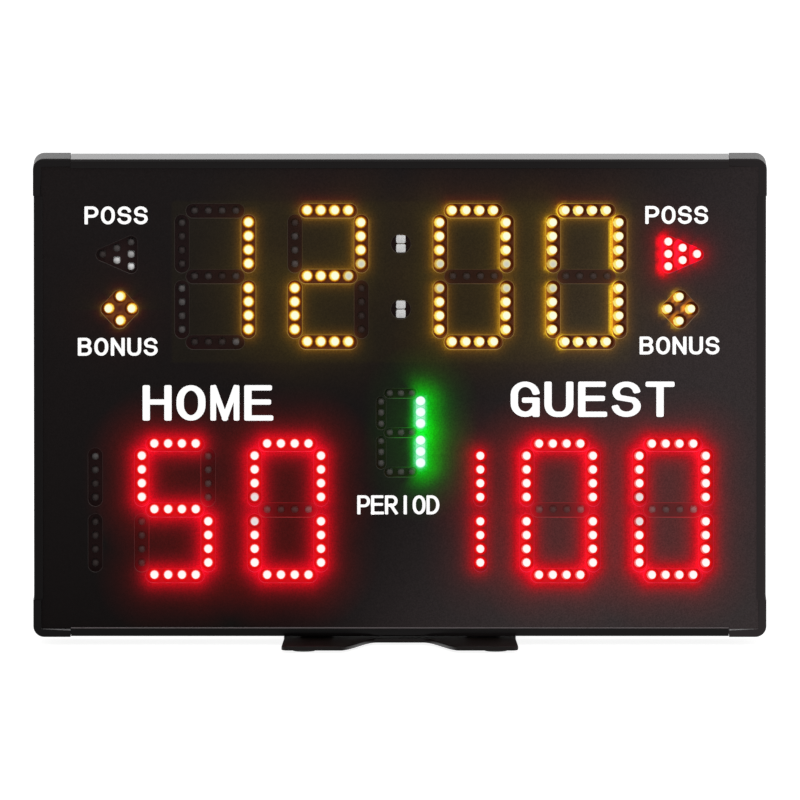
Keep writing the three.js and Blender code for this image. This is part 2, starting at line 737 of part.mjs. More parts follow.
// The charging socket, held in the rear cover by a nut behind it
function addJack() {
  const flangeFront = coverBackY + fitGap;
  const flangeBack = flangeFront + jackFlangeThickness;
  let body = bar('y', flangeFront, flangeBack, jackFlangeRadius, jackSides);
  body = body.add(bar('y', flangeBack - jackBarrelLength, flangeFront + sink, jackBarrelRadius, jackSides));
  body = body.subtract(bar('y', flangeBack - jackBoreDepth, flangeBack + overrun, jackBoreRadius, jackSides));
  addPiece(caseGroup, 'charging_socket', body, blackPlastic, [jackX, 0, switchRise]);

  const nutBack = coverFrontY - fitGap;
  let nut = bar('y', nutBack - jackNutThickness, nutBack, jackNutRadius, nutSides);
  nut = nut.subtract(bar('y', nutBack - jackNutThickness - overrun, nutBack + overrun,
    jackBarrelRadius + fitGap, jackSides));
  addPiece(caseGroup, 'charging_socket_nut', nut, nickelPlate, [jackX, 0, switchRise]);
}

// The stand's flat base: two lobes with an arch between them that reaches the case's front, and a shallower
// arch behind
function standOutline() {
  const half = standWidth / 2;
  const waist = half - standWaistInset;
  const front = frontY - standReach;
  const back = backY + standReach;
  const inset = lobeCornerRadius;
  return [
    ...arcPoints(half - inset, front + inset, inset, -Math.PI / 2, 0),
    at(waist, frontY),
    at(waist, backY),
    ...arcPoints(half - inset, back - inset, inset, 0, Math.PI / 2),
    ...archPoints(back, rearArchLand - standReach).reverse(),
    ...arcPoints(inset - half, back - inset, inset, Math.PI / 2, Math.PI),
    at(-waist, backY),
    at(-waist, frontY),
    ...arcPoints(inset - half, front + inset, inset, Math.PI, 3 * Math.PI / 2),
    ...archPoints(front, standReach),
  ];
}

// An arch from the left lobe's tip to the right one's, rising smoothly to its flat middle
function archPoints(tipY, depth) {
  const tipInner = standWidth / 2 - lobeTipWidth;
  const slope = tipInner - archFlatHalf;
  const rising = Array.from({ length: archSteps + 1 }, (_, index) => {
    const share = index / archSteps;
    return at(slope * share - tipInner, tipY + depth * share * share * (3 - 2 * share));
  });
  const falling = rising.map((point) => at(-point.x, point.y)).reverse();
  return [...rising, ...falling];
}

// Points round part of a circle, ends included
function arcPoints(x, y, radius, from, to) {
  const count = roundSteps / 4;
  return Array.from({ length: count + 1 }, (_, index) => {
    const angle = from + (to - from) * index / count;
    return at(x + radius * Math.cos(angle), y + radius * Math.sin(angle));
  });
}

const lugFootInner = lugReach;
const lugFootScrewX = lugFootInner + lugThickness + (lugFootWidth - lugThickness) / 2;
const lugFootScrewYs = [-1, 1].map((side) => pivotY + side * (lugRadius - screwHeadRadius));

function addStandBase() {
  const holes = [-1, 1].flatMap((side) => lugFootScrewYs.map((y) => (
    roundedOutline([at(side * lugFootScrewX, y)], screwHoleRadius, screwSides)
  )));
  const base = drawnOut(standOutline(), 'z', padHeight, standTopZ, { holes });
  addPiece(scoreboard, 'stand_base', base, standPaint);
  const padX = standWidth / 2 - padEdgeInset;
  const padY = caseDepth / 2 + standReach - padEdgeInset;
  const corners = [['front_left', -1, -1], ['front_right', 1, -1], ['rear_left', -1, 1], ['rear_right', 1, 1]];
  corners.forEach(([corner, sideX, sideY]) => {
    const pad = bar('z', 0, padHeight - fitGap, padRadius, padSides);
    addPiece(scoreboard, `stand_pad_${corner}`, pad, padRubber, [sideX * padX, sideY * padY, 0]);
  });
}

// A stand lug for the right side: a foot on the base and a round-topped upright with the pivot hole
function standLug(side) {
  const pivotZ = pivotRise - standTopZ - fitGap;
  const uprightX = [side * lugFootInner, side * (lugFootInner + lugThickness)].sort((a, b) => a - b);
  const footX = [side * lugFootInner, side * (lugFootInner + lugFootWidth)].sort((a, b) => a - b);
  const depth = [pivotY - lugRadius, pivotY + lugRadius];
  const outline = roundedOutline([at(pivotY, pivotZ)], lugRadius, roundSteps);
  let body = drawnOut(outline, 'x', ...uprightX);
  body = body.add(block(uprightX, depth, [0, pivotZ]));
  body = body.add(block(footX, depth, [0, lugFootThickness]));
  const hole = bar('x', uprightX[0] - overrun, uprightX[1] + overrun, lugHoleRadius, lugSides);
  body = body.subtract(hole.translate([0, pivotY, pivotZ]));
  lugFootScrewYs.forEach((y) => {
    const screwHole = bar('z', -overrun, lugFootThickness + overrun, screwHoleRadius, screwSides);
    body = body.subtract(screwHole.translate([side * lugFootScrewX, y, 0]));
  });
  return body;
}

// A case lug: a plate on the back of the case and an ear that lies inside the stand's lug
function caseLug(side) {
  const pivotZ = pivotRise - caseBottom;
  const outer = lugReach - fitGap;
  const earX = [side * (outer - lugThickness), side * outer].sort((a, b) => a - b);
  const plateX = [side * lugPlateInner, side * outer].sort((a, b) => a - b);
  const plateFront = backY + fitGap;
  const plateBack = plateFront + lugPlateThickness;
  const outline = roundedOutline([at(pivotY, pivotZ)], lugRadius, roundSteps);
  let body = drawnOut(outline, 'x', ...earX);
  body = body.add(block(earX, [plateFront, pivotY], [pivotZ - lugRadius, pivotZ + lugRadius]));
  body = body.add(block(plateX, [plateFront, plateBack], [lugPlateEdge, lugPlateHeight]));
  const padZ = [lipWidth + fitGap, lugPlateHeight];
  body = body.add(block(plateX, [coverBackY + fitGap, plateFront + sink], padZ));
  const hole = bar('x', earX[0] - overrun, earX[1] + overrun, lugHoleRadius, lugSides);
  body = body.subtract(hole.translate([0, pivotY, pivotZ]));
  lugScrewRises.forEach((rise) => {
    const screwHole = bar('y', coverBackY - overrun, plateBack + overrun, screwHoleRadius, screwSides);
    body = body.subtract(screwHole.translate([side * lugScrewX, 0, rise]));
  });
  return body;
}

// A round-headed screw whose head sits above zero on an axis and whose shank runs down from it
function screw(axis, grip) {
  const head = bar(axis, 0, screwHeadHeight, screwHeadRadius, screwSides);
  return head.add(bar(axis, -grip, sink, screwShankRadius, screwSides));
}

// A six-lobed clamp knob whose stud runs inward through both lugs, for the side that it is on
function clampKnob(side) {
  const hubStart = fitGap;
  const gripStart = hubStart + knobHubLength;
  const gripEnd = gripStart + knobThickness;
  const centre = knobRadius - knobGripRadius;
  const corners = Array.from({ length: knobGripCount }, (_, index) => {
    const angle = 2 * Math.PI * index / knobGripCount;
    return at(centre * Math.cos(angle), centre * Math.sin(angle));
  });
  const along = (from, to) => [side * from, side * to].sort((a, b) => a - b);
  let body = drawnOut(roundedOutline([at(0, 0)], centre, knobSides), 'x', ...along(gripStart, gripEnd));
  corners.forEach((corner) => {
    const lobe = roundedOutline([corner], knobGripRadius, knobSides / 2);
    body = body.add(drawnOut(lobe, 'x', ...along(gripStart, gripEnd)));
  });
  body = body.add(bar('x', ...along(hubStart, gripStart + sink), knobHubRadius, knobSides));
  const studEnd = 2 * lugThickness + fitGap + studOverhang;
  body = body.add(bar('x', ...along(-studEnd, gripStart), studRadius, lugSides));
  return body;
}

function addTilt() {
  const standSide = lugFootInner + lugThickness;
  [['left', -1], ['right', 1]].forEach(([word, side]) => {
    addPiece(scoreboard, `stand_lug_${word}`, standLug(side), standPaint, [0, 0, standTopZ + fitGap]);
    addPiece(caseGroup, `case_lug_${word}`, caseLug(side), standPaint);
    addPiece(scoreboard, `clamp_knob_${word}`, clampKnob(side), blackPlastic,
      [side * standSide, pivotY, pivotRise]);
    lugFootScrewYs.forEach((y, index) => {
      const grip = lugFootThickness + standThickness + 2 * fitGap;
      addPiece(scoreboard, `stand_screw_${word}_${index + 1}`, screw('z', grip), zincSteel,
        [side * lugFootScrewX, y, footScrewSeatZ]);
    });
    lugScrewRises.forEach((rise, index) => {
      const seat = backY + fitGap + lugPlateThickness + fitGap;
      const grip = seat - coverFrontY + screwEnd;
      addPiece(caseGroup, `lug_screw_${word}_${index + 1}`, screw('y', grip), zincSteel,
        [side * lugScrewX, seat, rise]);
    });
  });
}

addRails();
addCorners();
addFrontPanel();
addDisplays();
addRearCover();
addControls();
addBattery();
addHorn();
addSwitch();
addJack();
addStandBase();
addTilt();

export default scoreboard;
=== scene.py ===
"""Table-top electronic scoreboard: lit lamps behind a slotted black front, in a black frame on a flat stand.

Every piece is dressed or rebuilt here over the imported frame, in metres, +Z up, with the front facing -Y.
"""

import logging
import math
from collections.abc import Callable, Iterable, Sequence
from dataclasses import dataclass
from enum import Enum

import bpy
import numpy as np
from mathutils import Matrix, Vector


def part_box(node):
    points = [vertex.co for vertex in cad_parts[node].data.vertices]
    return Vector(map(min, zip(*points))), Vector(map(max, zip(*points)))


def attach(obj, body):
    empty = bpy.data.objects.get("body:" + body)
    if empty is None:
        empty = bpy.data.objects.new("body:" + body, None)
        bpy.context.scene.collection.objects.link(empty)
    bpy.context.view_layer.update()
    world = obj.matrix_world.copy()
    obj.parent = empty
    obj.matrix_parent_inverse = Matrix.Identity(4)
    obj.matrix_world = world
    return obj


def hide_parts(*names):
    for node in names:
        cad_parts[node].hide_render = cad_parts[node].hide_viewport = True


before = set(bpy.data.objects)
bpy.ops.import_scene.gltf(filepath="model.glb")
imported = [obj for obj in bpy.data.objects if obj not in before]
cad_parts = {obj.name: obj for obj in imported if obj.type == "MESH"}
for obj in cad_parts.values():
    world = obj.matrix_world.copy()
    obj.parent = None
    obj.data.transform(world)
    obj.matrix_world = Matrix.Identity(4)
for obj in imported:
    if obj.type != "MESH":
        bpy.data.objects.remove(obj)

log = logging.getLogger("scoreboard")

MM = 0.001
LIGHT = "stored_light"
# Places closer than this count as one
TINY = 0.01 * MM
# In degrees: the sharpest edge that is shaded smooth on large rounds, fine rounds, pads and the front sheet
ROUND_ANGLE, FINE_ANGLE, PAD_ANGLE, SHEET_ANGLE = 40, 35, 32, 30

Point = tuple[float, float]
Colour = tuple[float, float, float]


def linear(code: str) -> Colour:
    """Turns an sRGB hex colour into linear light.

    Args:
        code: six hex digits, with or without a leading #.

    Returns:
        Red, green and blue in linear light.
    """
    digits = code.lstrip("#")
    shares = (int(digits[place:place + 2], 16) / 255 for place in (0, 2, 4))
    return tuple(s / 12.92 if s <= 0.04045 else ((s + 0.055) / 1.055) ** 2.4 for s in shares)


def add_node(tree: bpy.types.NodeTree, kind: str, inputs: dict | None = None, **settings) -> bpy.types.Node:
    """Adds a node with its settings, and sets or links its inputs.

    Args:
        tree: the node tree.
        kind: the node's type name.
        inputs: socket name or number to a value, or to the output socket that feeds it.
        settings: attributes of the node itself.

    Returns:
        The new node.
    """
    node = tree.nodes.new(kind)
    for name, value in settings.items():
        setattr(node, name, value)
    for key, value in (inputs or {}).items():
        if isinstance(value, bpy.types.NodeSocket):
            tree.links.new(value, node.inputs[key])
        else:
            node.inputs[key].default_value = value
    return node


def add_math(tree: bpy.types.NodeTree, operation: str, *values, **settings) -> bpy.types.NodeSocket:
    """Adds a maths node.

    Args:
        tree: the node tree.
        operation: what the node does.
        values: its inputs in order, each a number or an output socket.
        settings: attributes of the node itself.

    Returns:
        The socket that gives its result.
    """
    node = add_node(tree, "ShaderNodeMath", dict(enumerate(values)), operation=operation, **settings)
    return node.outputs[0]


def stored_value(tree: bpy.types.NodeTree, name: str) -> bpy.types.Node:
    """Adds a node that reads what is stored on the points under a name."""
    return add_node(tree, "ShaderNodeAttribute", attribute_name=name)


def seen_directly(tree: bpy.types.NodeTree) -> bpy.types.NodeSocket:
    """Gives 1 where the camera sees a surface, also mirrored or through glass, and 0 elsewhere."""
    paths = add_node(tree, "ShaderNodeLightPath").outputs
    seen = add_math(tree, "MAXIMUM", paths["Is Camera Ray"], paths["Is Glossy Ray"])
    return add_math(tree, "MAXIMUM", seen, paths["Is Transmission Ray"])


def set_stops(ramp: bpy.types.Node, stops: Sequence[tuple[float, Colour]]) -> None:
    """Gives a colour ramp its stops.

    Args:
        ramp: the Color Ramp node.
        stops: place and linear colour of each stop, from the lowest place up.
    """
    elements = ramp.color_ramp.elements
    while len(elements) < len(stops):
        elements.new(1.0)
    for element, (place, colour) in zip(elements, stops):
        element.position = place
        element.color = (*colour, 1.0)


def new_material(name: str) -> tuple[bpy.types.Material, bpy.types.NodeTree]:
    """Makes an empty node-based material.

    Args:
        name: the material's name.

    Returns:
        The material and its cleared node tree.
    """
    material = bpy.data.materials.new(name)
    material.use_nodes = True
    material.node_tree.nodes.clear()
    return material, material.node_tree


@dataclass(frozen=True)
class Finish:
    """A surface with a fine pattern that shifts its colour, gloss and height a little.

    The pattern is noise on Object coordinates. Its spacing along each axis and its height are in millimetres.
    """

    name: str
    colour: str
    second_colour: str
    roughness: float
    roughness_swing: float
    grain: tuple[float, float, float]
    relief: float
    metallic: float = 0.0
    specular: float = 0.5
    glow: Colour | None = None
    glow_swing: float = 0.0

    OCTAVES = 3.0
    NOISE_RANGE = (0.25, 0.75)

    def build(self) -> bpy.types.Material:
        """Makes the material."""
        material, tree = new_material(self.name)
        place = add_node(tree, "ShaderNodeTexCoord")
        spacing = tuple(1 / (size * MM) for size in self.grain)
        mapped = add_node(tree, "ShaderNodeMapping", {"Vector": place.outputs["Object"], "Scale": spacing})
        noise = add_node(tree, "ShaderNodeTexNoise",
                         {"Vector": mapped.outputs[0], "Scale": 1.0, "Detail": self.OCTAVES})
        shade = add_node(tree, "ShaderNodeMix", {0: noise.outputs["Fac"]}, data_type="RGBA")
        shade.inputs[6].default_value = (*linear(self.colour), 1.0)
        shade.inputs[7].default_value = (*linear(self.second_colour), 1.0)
        gloss = add_node(tree, "ShaderNodeMapRange", {
            "Value": noise.outputs["Fac"],
            "To Min": self.roughness - self.roughness_swing,
            "To Max": self.roughness + self.roughness_swing,
        })
        bump = add_node(tree, "ShaderNodeBump",
                        {"Height": noise.outputs["Fac"], "Distance": self.relief * MM, "Strength": 1.0})
        surface = add_node(tree, "ShaderNodeBsdfPrincipled", {
            "Base Color": shade.outputs[2],
            "Roughness": gloss.outputs[0],
            "Normal": bump.outputs[0],
            "Metallic": self.metallic,
            "Specular IOR Level": self.specular,
        })
        if self.glow:
            self.add_glow(tree, noise, surface)
        add_node(tree, "ShaderNodeOutputMaterial", {"Surface": surface.outputs[0]})
        return material

    def add_glow(self, tree: bpy.types.NodeTree, noise: bpy.types.Node, surface: bpy.types.Node) -> None:
        """Lets the surface give off the light that is stored on its points.

        Args:
            tree: the material's node tree.
            noise: the pattern that makes the light a little uneven.
            surface: the surface's shader.
        """
        stored = stored_value(tree, LIGHT)
        tinted = add_node(tree, "ShaderNodeVectorMath", {0: stored.outputs["Color"], 1: self.glow},
                          operation="MULTIPLY")
        swing = add_node(tree, "ShaderNodeMapRange", {
            "Value": noise.outputs["Fac"], "From Min": self.NOISE_RANGE[0], "From Max": self.NOISE_RANGE[1],
            "To Min": 1 - self.glow_swing, "To Max": 1 + self.glow_swing,
        })
        tree.links.new(tinted.outputs[0], surface.inputs["Emission Color"])
        tree.links.new(swing.outputs[0], surface.inputs["Emission Strength"])


@dataclass(frozen=True)
class LampGlow:
    """A lit lamp: white-hot in the middle of its lens, then its own colour on the collar round it, where the
    glow is painted.

    The stops are read along the attribute that holds each point's distance from the lamp's middle.
    """

    name: str
    stops: tuple[tuple[float, str], ...]

    BASE = "#050404"
    ROUGHNESS = 0.4
    SPECULAR = 0.03

    def build(self) -> bpy.types.Material:
        """Makes the material."""
        material, tree = new_material(self.name)
        distance = stored_value(tree, Lamp.DISTANCE)
        ramp = add_node(tree, "ShaderNodeValToRGB", {"Fac": distance.outputs["Fac"]})
        reach = 2 * Lamp.LENS_RADIUS
        set_stops(ramp, [(radius * MM / reach, linear(code)) for radius, code in self.stops])
        surface = add_node(tree, "ShaderNodeBsdfPrincipled", {
            "Base Color": (*linear(self.BASE), 1.0),
            "Roughness": self.ROUGHNESS,
            "Specular IOR Level": self.SPECULAR,
            "Emission Color": ramp.outputs["Color"],
            "Emission Strength": 1.0,
        })
        add_node(tree, "ShaderNodeOutputMaterial", {"Surface": surface.outputs[0]})
        return material


@dataclass(frozen=True)
class DarkLens:
    """An unlit lamp's lens, which also glows with its neighbours' light.

    A square patch on the lens is painted paler towards white, as far as the share kept on the lens: painted
    highlights and painted light from lit neighbours, over the lens's own dim tone.
    """

    name: str
    dim: str
    bright: str

    ROUGHNESS = 0.5
    SPECULAR = 0.06
    NEIGHBOUR_LIGHT = 0.6
    CORNER_BLEND = 0.3
    PATCH_EDGE = (0.85, 1.15)
    WEAR_SPACING = 2 * MM
    WEAR_SWING = 0.4
    WEAR_LEAST = 0.8

    def build(self) -> bpy.types.Material:
        """Makes the material."""
        material, tree = new_material(self.name)
        share = stored_value(tree, Lamp.DISTANCE)
        offset = stored_value(tree, Lamp.OFFSET)
        size = add_node(tree, "ShaderNodeVectorMath", {0: offset.outputs["Vector"]}, operation="ABSOLUTE")
        sides = add_node(tree, "ShaderNodeSeparateXYZ", {0: size.outputs[0]})
        furthest = add_math(tree, "SMOOTH_MAX", sides.outputs[0], sides.outputs[2], self.CORNER_BLEND)
        inside = add_node(tree, "ShaderNodeMapRange", {
            "Value": furthest, "From Min": self.PATCH_EDGE[0], "From Max": self.PATCH_EDGE[1],
            "To Min": 1.0, "To Max": 0.0,
        })
        painted_patch = add_math(tree, "MULTIPLY", share.outputs["Fac"], inside.outputs[0])
        place = add_node(tree, "ShaderNodeTexCoord")
        noise = add_node(tree, "ShaderNodeTexNoise",
                         {"Vector": place.outputs["Object"], "Scale": 1 / self.WEAR_SPACING})
        worn = add_math(tree, "MULTIPLY_ADD", noise.outputs["Fac"], self.WEAR_SWING, self.WEAR_LEAST)
        level = add_math(tree, "MULTIPLY", painted_patch, worn, use_clamp=True)
        ramp = add_node(tree, "ShaderNodeValToRGB", {"Fac": level})
        set_stops(ramp, [(0.0, linear(self.dim)), (1.0, linear(self.bright))])
        stored = stored_value(tree, LIGHT)
        surface = add_node(tree, "ShaderNodeBsdfPrincipled", {
            "Base Color": ramp.outputs["Color"],
            "Roughness": self.ROUGHNESS,
            "Specular IOR Level": self.SPECULAR,
            "Emission Color": stored.outputs["Color"],
            "Emission Strength": self.NEIGHBOUR_LIGHT,
        })
        add_node(tree, "ShaderNodeOutputMaterial", {"Surface": surface.outputs[0]})
        return material


class Shade(Enum):
    """The finishes of the scoreboard, each named for its real material."""

    # Black anodised aluminium, extruded: drawn lines run along the rail and streak its satin gloss
    RAIL_ACROSS = Finish("black_anodised_aluminium_across", "#090808", "#0f0e0e", 0.19, 0.03,
                         (60, 0.5, 0.5), 0.003, specular=0.07, glow=(1.0, 1.0, 1.0))
    RAIL_UPRIGHT = Finish("black_anodised_aluminium_upright", "#090808", "#0f0e0e", 0.25, 0.04,
                          (0.5, 0.5, 60), 0.004, specular=0.05, glow=(1.0, 1.0, 1.0))
    # The upper edge of the lower lip: a paler, glossier copy of the anodised finish, painted as a thin
    # highlight line
    RAIL_EDGE = Finish("painted_highlight_anodised_edge", "#372f31", "#584e50", 0.3, 0.05,
                       (9, 0.5, 0.5), 0.006, specular=0.4, glow=(1.0, 1.0, 1.0))
    # Black ABS, injection moulded: a fine spark grain breaks up its soft sheen
    CORNER = Finish("moulded_black_abs", "#090909", "#100f10", 0.34, 0.05,
                    (0.6, 0.6, 0.6), 0.02, specular=0.06, glow=(1.0, 1.0, 1.0))
    # The same plastic along the lower inner edge, far paler: a painted highlight
    CORNER_EDGE = Finish("painted_highlight_abs_edge", "#6a6869", "#7a7879", 0.25, 0.05,
                         (3, 3, 3), 0.01, specular=0.5)
    # Black polycarbonate sheet, screen-printed: nearly matt, with a fine sand that reads as noise
    FRONT = Finish("black_printed_polycarbonate", "#080606", "#100d0c", 0.5, 0.05,
                   (0.9, 0.9, 0.9), 0.012, specular=0.03, glow=(1.0, 1.0, 1.0),
                   glow_swing=0.3)
    # The same sheet where it is routed, paler than the face so that a light line shows along each opening.
    # The copies beside lit openings are tinted with their lamps' colour and give off more of the stored
    # light: painted lamplight
    CUT_EDGE = Finish("routed_edge_unlit", "#2b2625", "#3a3432", 0.45, 0.08,
                      (0.8, 0.8, 0.8), 0.02, specular=0.1, glow=(1.0, 1.0, 1.0))
    AMBER_EDGE = Finish("routed_edge_painted_amber_light", "#302b28", "#443d39", 0.45, 0.08,
                        (0.8, 0.8, 0.8), 0.02, specular=0.1, glow=(1.6, 1.9, 2.4))
    RED_EDGE = Finish("routed_edge_painted_red_light", "#241014", "#34141c", 0.45, 0.08,
                      (0.8, 0.8, 0.8), 0.02, specular=0.1, glow=(1.05, 1.0, 3.0))
    GREEN_EDGE = Finish("routed_edge_painted_green_light", "#081208", "#0c180c", 0.45, 0.08,
                        (0.8, 0.8, 0.8), 0.02, specular=0.03, glow=(0.2, 0.75, 0.4))
    # Black solder resist on glass laminate: faint weave under a smooth film. Its warm brown is lighter than
    # bare resist: painted light that lifts the shade inside the openings
    LAMP_BOARD = Finish("black_solder_resist", "#33201f", "#3c2525", 0.45, 0.05,
                        (0.9, 0.9, 0.9), 0.01, specular=0.03, glow=(1.0, 1.0, 1.0))
    # Green solder resist: a cloudy film over tracks of copper
    GREEN_BOARD = Finish("green_solder_resist", "#163d22", "#2a6b3a", 0.35, 0.08,
                         (4, 4, 4), 0.02, specular=0.4)
    # White screen ink: thick and slightly chalky; it gives off a faint painted glow that keeps it white
    INK = Finish("white_screen_ink", "#f6f5f3", "#ffffff", 0.6, 0.05,
                 (0.7, 0.7, 0.7), 0.01, specular=0.2, glow=(0.45, 0.45, 0.45))
    # Black powder coat on sheet aluminium: a soft orange peel about 1.5 mm across
    POWDER = Finish("black_powder_coat", "#161516", "#1e1d1e", 0.5, 0.08,
                    (1.5, 1.5, 1.5), 0.05, specular=0.35)
    # Black stoved enamel on steel: warm and dark, with a slow ripple in its satin gloss
    STAND = Finish("black_stoved_enamel", "#0a0605", "#110b0a", 0.32, 0.06,
                   (9, 9, 9), 0.04, specular=0.12)
    # Nitrile rubber, moulded: matt black with a dusty bloom
    RUBBER = Finish("moulded_nitrile_rubber", "#161616", "#242322", 0.85, 0.08,
                    (0.8, 0.8, 0.8), 0.04, specular=0.3)
    # Phenolic plastic, compression moulded: a deep black with a low polish
    KNOB = Finish("moulded_phenolic", "#121113", "#1b191b", 0.3, 0.08,
                  (1.2, 1.2, 1.2), 0.02, specular=0.45)
    # Zinc-plated steel: a cool grey with passivation clouds
    ZINC = Finish("zinc_plated_steel", "#9a9c9e", "#b9b8ae", 0.32, 0.08,
                  (1.4, 1.4, 1.4), 0.01, metallic=1.0)
    # Nickel plate on brass: warmer and brighter than zinc
    NICKEL = Finish("nickel_plated_brass", "#b9b5a8", "#cfcbbe", 0.24, 0.06,
                    (1.0, 1.0, 1.0), 0.008, metallic=1.0)
    # Mill-finish aluminium sheet: rolling lines along its length
    MILL_SHEET = Finish("rolled_aluminium_sheet", "#a9abad", "#c3c4c5", 0.38, 0.08,
                        (40, 0.4, 0.4), 0.006, metallic=1.0)
    # Blue heat-shrink film: taut and glossy, with faint wrinkles about 12 mm apart
    SHRINK_FILM = Finish("blue_heat_shrink_film", "#233a70", "#2f4b8a", 0.28, 0.06,
                         (12, 12, 5), 0.3, specular=0.5)
    # Nylon 66, moulded: the switch and the socket, glossier than the corners
    SWITCH = Finish("moulded_nylon", "#0f0f10", "#171617", 0.25, 0.05,
                    (0.7, 0.7, 0.7), 0.012, specular=0.5)
    # Lit lamps: the radius in millimetres and the colour there; past the lens, on the collar, it is a painted
    # glow
    AMBER_LAMP = LampGlow("amber_lamp", (
        (0.0, "#fafde6"), (2.4, "#fafdda"), (2.9, "#fdf398"), (3.3, "#f8d644"), (3.7, "#d48c14"),
        (4.1, "#9c5006"), (4.5, "#6c2c03"), (4.85, "#5c2203"), (5.0, "#3e1603"),
    ))
    RED_LAMP = LampGlow("red_lamp", (
        (0.0, "#fdfcf6"), (2.4, "#fefaf9"), (2.75, "#ffdedd"), (3.1, "#f87c7c"), (3.45, "#f0201e"),
        (3.8, "#e80a10"), (4.3, "#e2060c"), (4.8, "#d0060c"), (5.0, "#be070c"),
    ))
    GREEN_LAMP = LampGlow("green_lamp", (
        (0.0, "#fbfffe"), (2.7, "#f2fffb"), (3.2, "#d6fff0"), (3.6, "#8cf5c0"), (3.9, "#34d870"),
    ))
    # The same lamps where they have aged: a greyer core
    TIRED_AMBER_LAMP = LampGlow("tired_amber_lamp", (
        (0.0, "#c9c9bd"), (1.8, "#d6d4bc"), (2.6, "#e6dc98"), (3.2, "#d0a844"), (3.6, "#a87018"),
        (4.0, "#7c4008"), (4.5, "#562203"), (5.0, "#421503"),
    ))
    TIRED_RED_LAMP = LampGlow("tired_red_lamp", (
        (0.0, "#e0d8d8"), (2.0, "#eae2e2"), (2.7, "#eeb8b8"), (3.05, "#d86060"), (3.4, "#d02020"),
        (3.8, "#cc0c12"), (4.3, "#c0060e"), (5.0, "#a0070c"),
    ))
    DARK_LAMP = DarkLens("lamp_lens_painted_highlight", "#2a1f1d", "#ffffff")


class Finishes:
    """Builds each finish once and hands it out."""

    def __init__(self) -> None:
        """Starts with nothing built."""
        self.built: dict[Shade, bpy.types.Material] = {}

    def get(self, shade: Shade) -> bpy.types.Material:
        """Gives the material of a finish, and makes it the first time."""
        if shade not in self.built:
            self.built[shade] = shade.value.build()
        return self.built[shade]


finishes = Finishes()


def active() -> bpy.types.Object:
    """Gives the active object."""
    return bpy.context.view_layer.objects.active


def deselect() -> None:
    """Leaves nothing selected."""
    for piece in bpy.context.selected_objects:
        piece.select_set(False)


def choose(*pieces: bpy.types.Object) -> None:
    """Selects pieces alone and makes the first of them active."""
    deselect()
    for piece in pieces:
        piece.select_set(True)
    bpy.context.view_layer.objects.active = pieces[0]


def edit_all(piece: bpy.types.Object) -> None:
    """Opens a piece in edit mode with everything selected."""
    choose(piece)
    bpy.ops.object.mode_set(mode="EDIT")
    bpy.ops.mesh.select_all(action="SELECT")


def object_mode() -> None:
    """Goes back to object mode."""
    bpy.ops.object.mode_set(mode="OBJECT")


def extrude(way: Sequence[float]) -> None:
    """Draws the selected faces out along a way."""
    bpy.ops.mesh.extrude_region_move(TRANSFORM_OT_translate={"value": way})


def apply_modifier(piece: bpy.types.Object, kind: str, **settings) -> None:
    """Applies a modifier to a piece.

    Args:
        piece: the piece.
        kind: the modifier's type name.
        settings: the modifier's settings.
    """
    choose(piece)
    modifier = piece.modifiers.new(kind.lower(), kind)
    for name, value in settings.items():
        setattr(modifier, name, value)
    bpy.ops.object.modifier_apply(modifier=modifier.name)


def in_scene(name: str, data: bpy.types.ID) -> bpy.types.Object:
    """Puts a new object with the given data in the scene."""
    piece = bpy.data.objects.new(name, data)
    bpy.context.scene.collection.objects.link(piece)
    return piece


def settle(piece: bpy.types.Object) -> None:
    """Moves a piece's place, turn and scale into its mesh."""
    choose(piece)
    bpy.ops.object.transform_apply(location=True, rotation=True, scale=True)


def cuboid(name: str, low: Sequence[float], high: Sequence[float]) -> bpy.types.Object:
    """Adds a cube primitive that fills a box.

    Args:
        name: the piece's name.
        low: the box's lowest corner.
        high: the box's highest corner.

    Returns:
        The new piece.
    """
    deselect()
    middle = [(a + b) / 2 for a, b in zip(low, high)]
    bpy.ops.mesh.primitive_cube_add(size=1, location=middle)
    piece = active()
    piece.name = name
    piece.scale = [b - a for a, b in zip(low, high)]
    settle(piece)
    return piece


def round_bar(name: str, start: Vector, end: Vector, radius: float, sides: int) -> bpy.types.Object:
    """Adds a cylinder primitive between two points.

    Args:
        name: the piece's name.
        start: the middle of one end.
        end: the middle of the other end.
        radius: the bar's radius.
        sides: how many sides it has.

    Returns:
        The new piece.
    """
    deselect()
    axis = end - start
    turn = axis.to_track_quat("Z", "Y").to_euler()
    bpy.ops.mesh.primitive_cylinder_add(
        vertices=sides, radius=radius, depth=axis.length, location=(start + end) / 2, rotation=turn)
    piece = active()
    piece.name = name
    settle(piece)
    return piece


def thick_grid(name: str, low: Vector, high: Vector, front: float, thickness: float,
               cell: float) -> bpy.types.Object:
    """Makes an upright sheet as a fine grid with thickness, so that its points can hold light.

    Args:
        name: the sheet's name.
        low: the lowest corner of the box that it fills.
        high: the highest corner of that box.
        front: where its front face lies.
        thickness: how thick it is.
        cell: about how wide a cell of the grid is.

    Returns:
        The new sheet.
    """
    width, height = high.x - low.x, high.z - low.z
    deselect()
    bpy.ops.mesh.primitive_grid_add(
        x_subdivisions=max(2, round(width / cell)), y_subdivisions=max(2, round(height / cell)), size=1,
        location=((low.x + high.x) / 2, front, (low.z + high.z) / 2), rotation=(math.pi / 2, 0, 0))
    sheet = active()
    sheet.name = name
    sheet.scale = (width, height, 1)
    settle(sheet)
    apply_modifier(sheet, "SOLIDIFY", thickness=thickness, offset=-1)
    return sheet


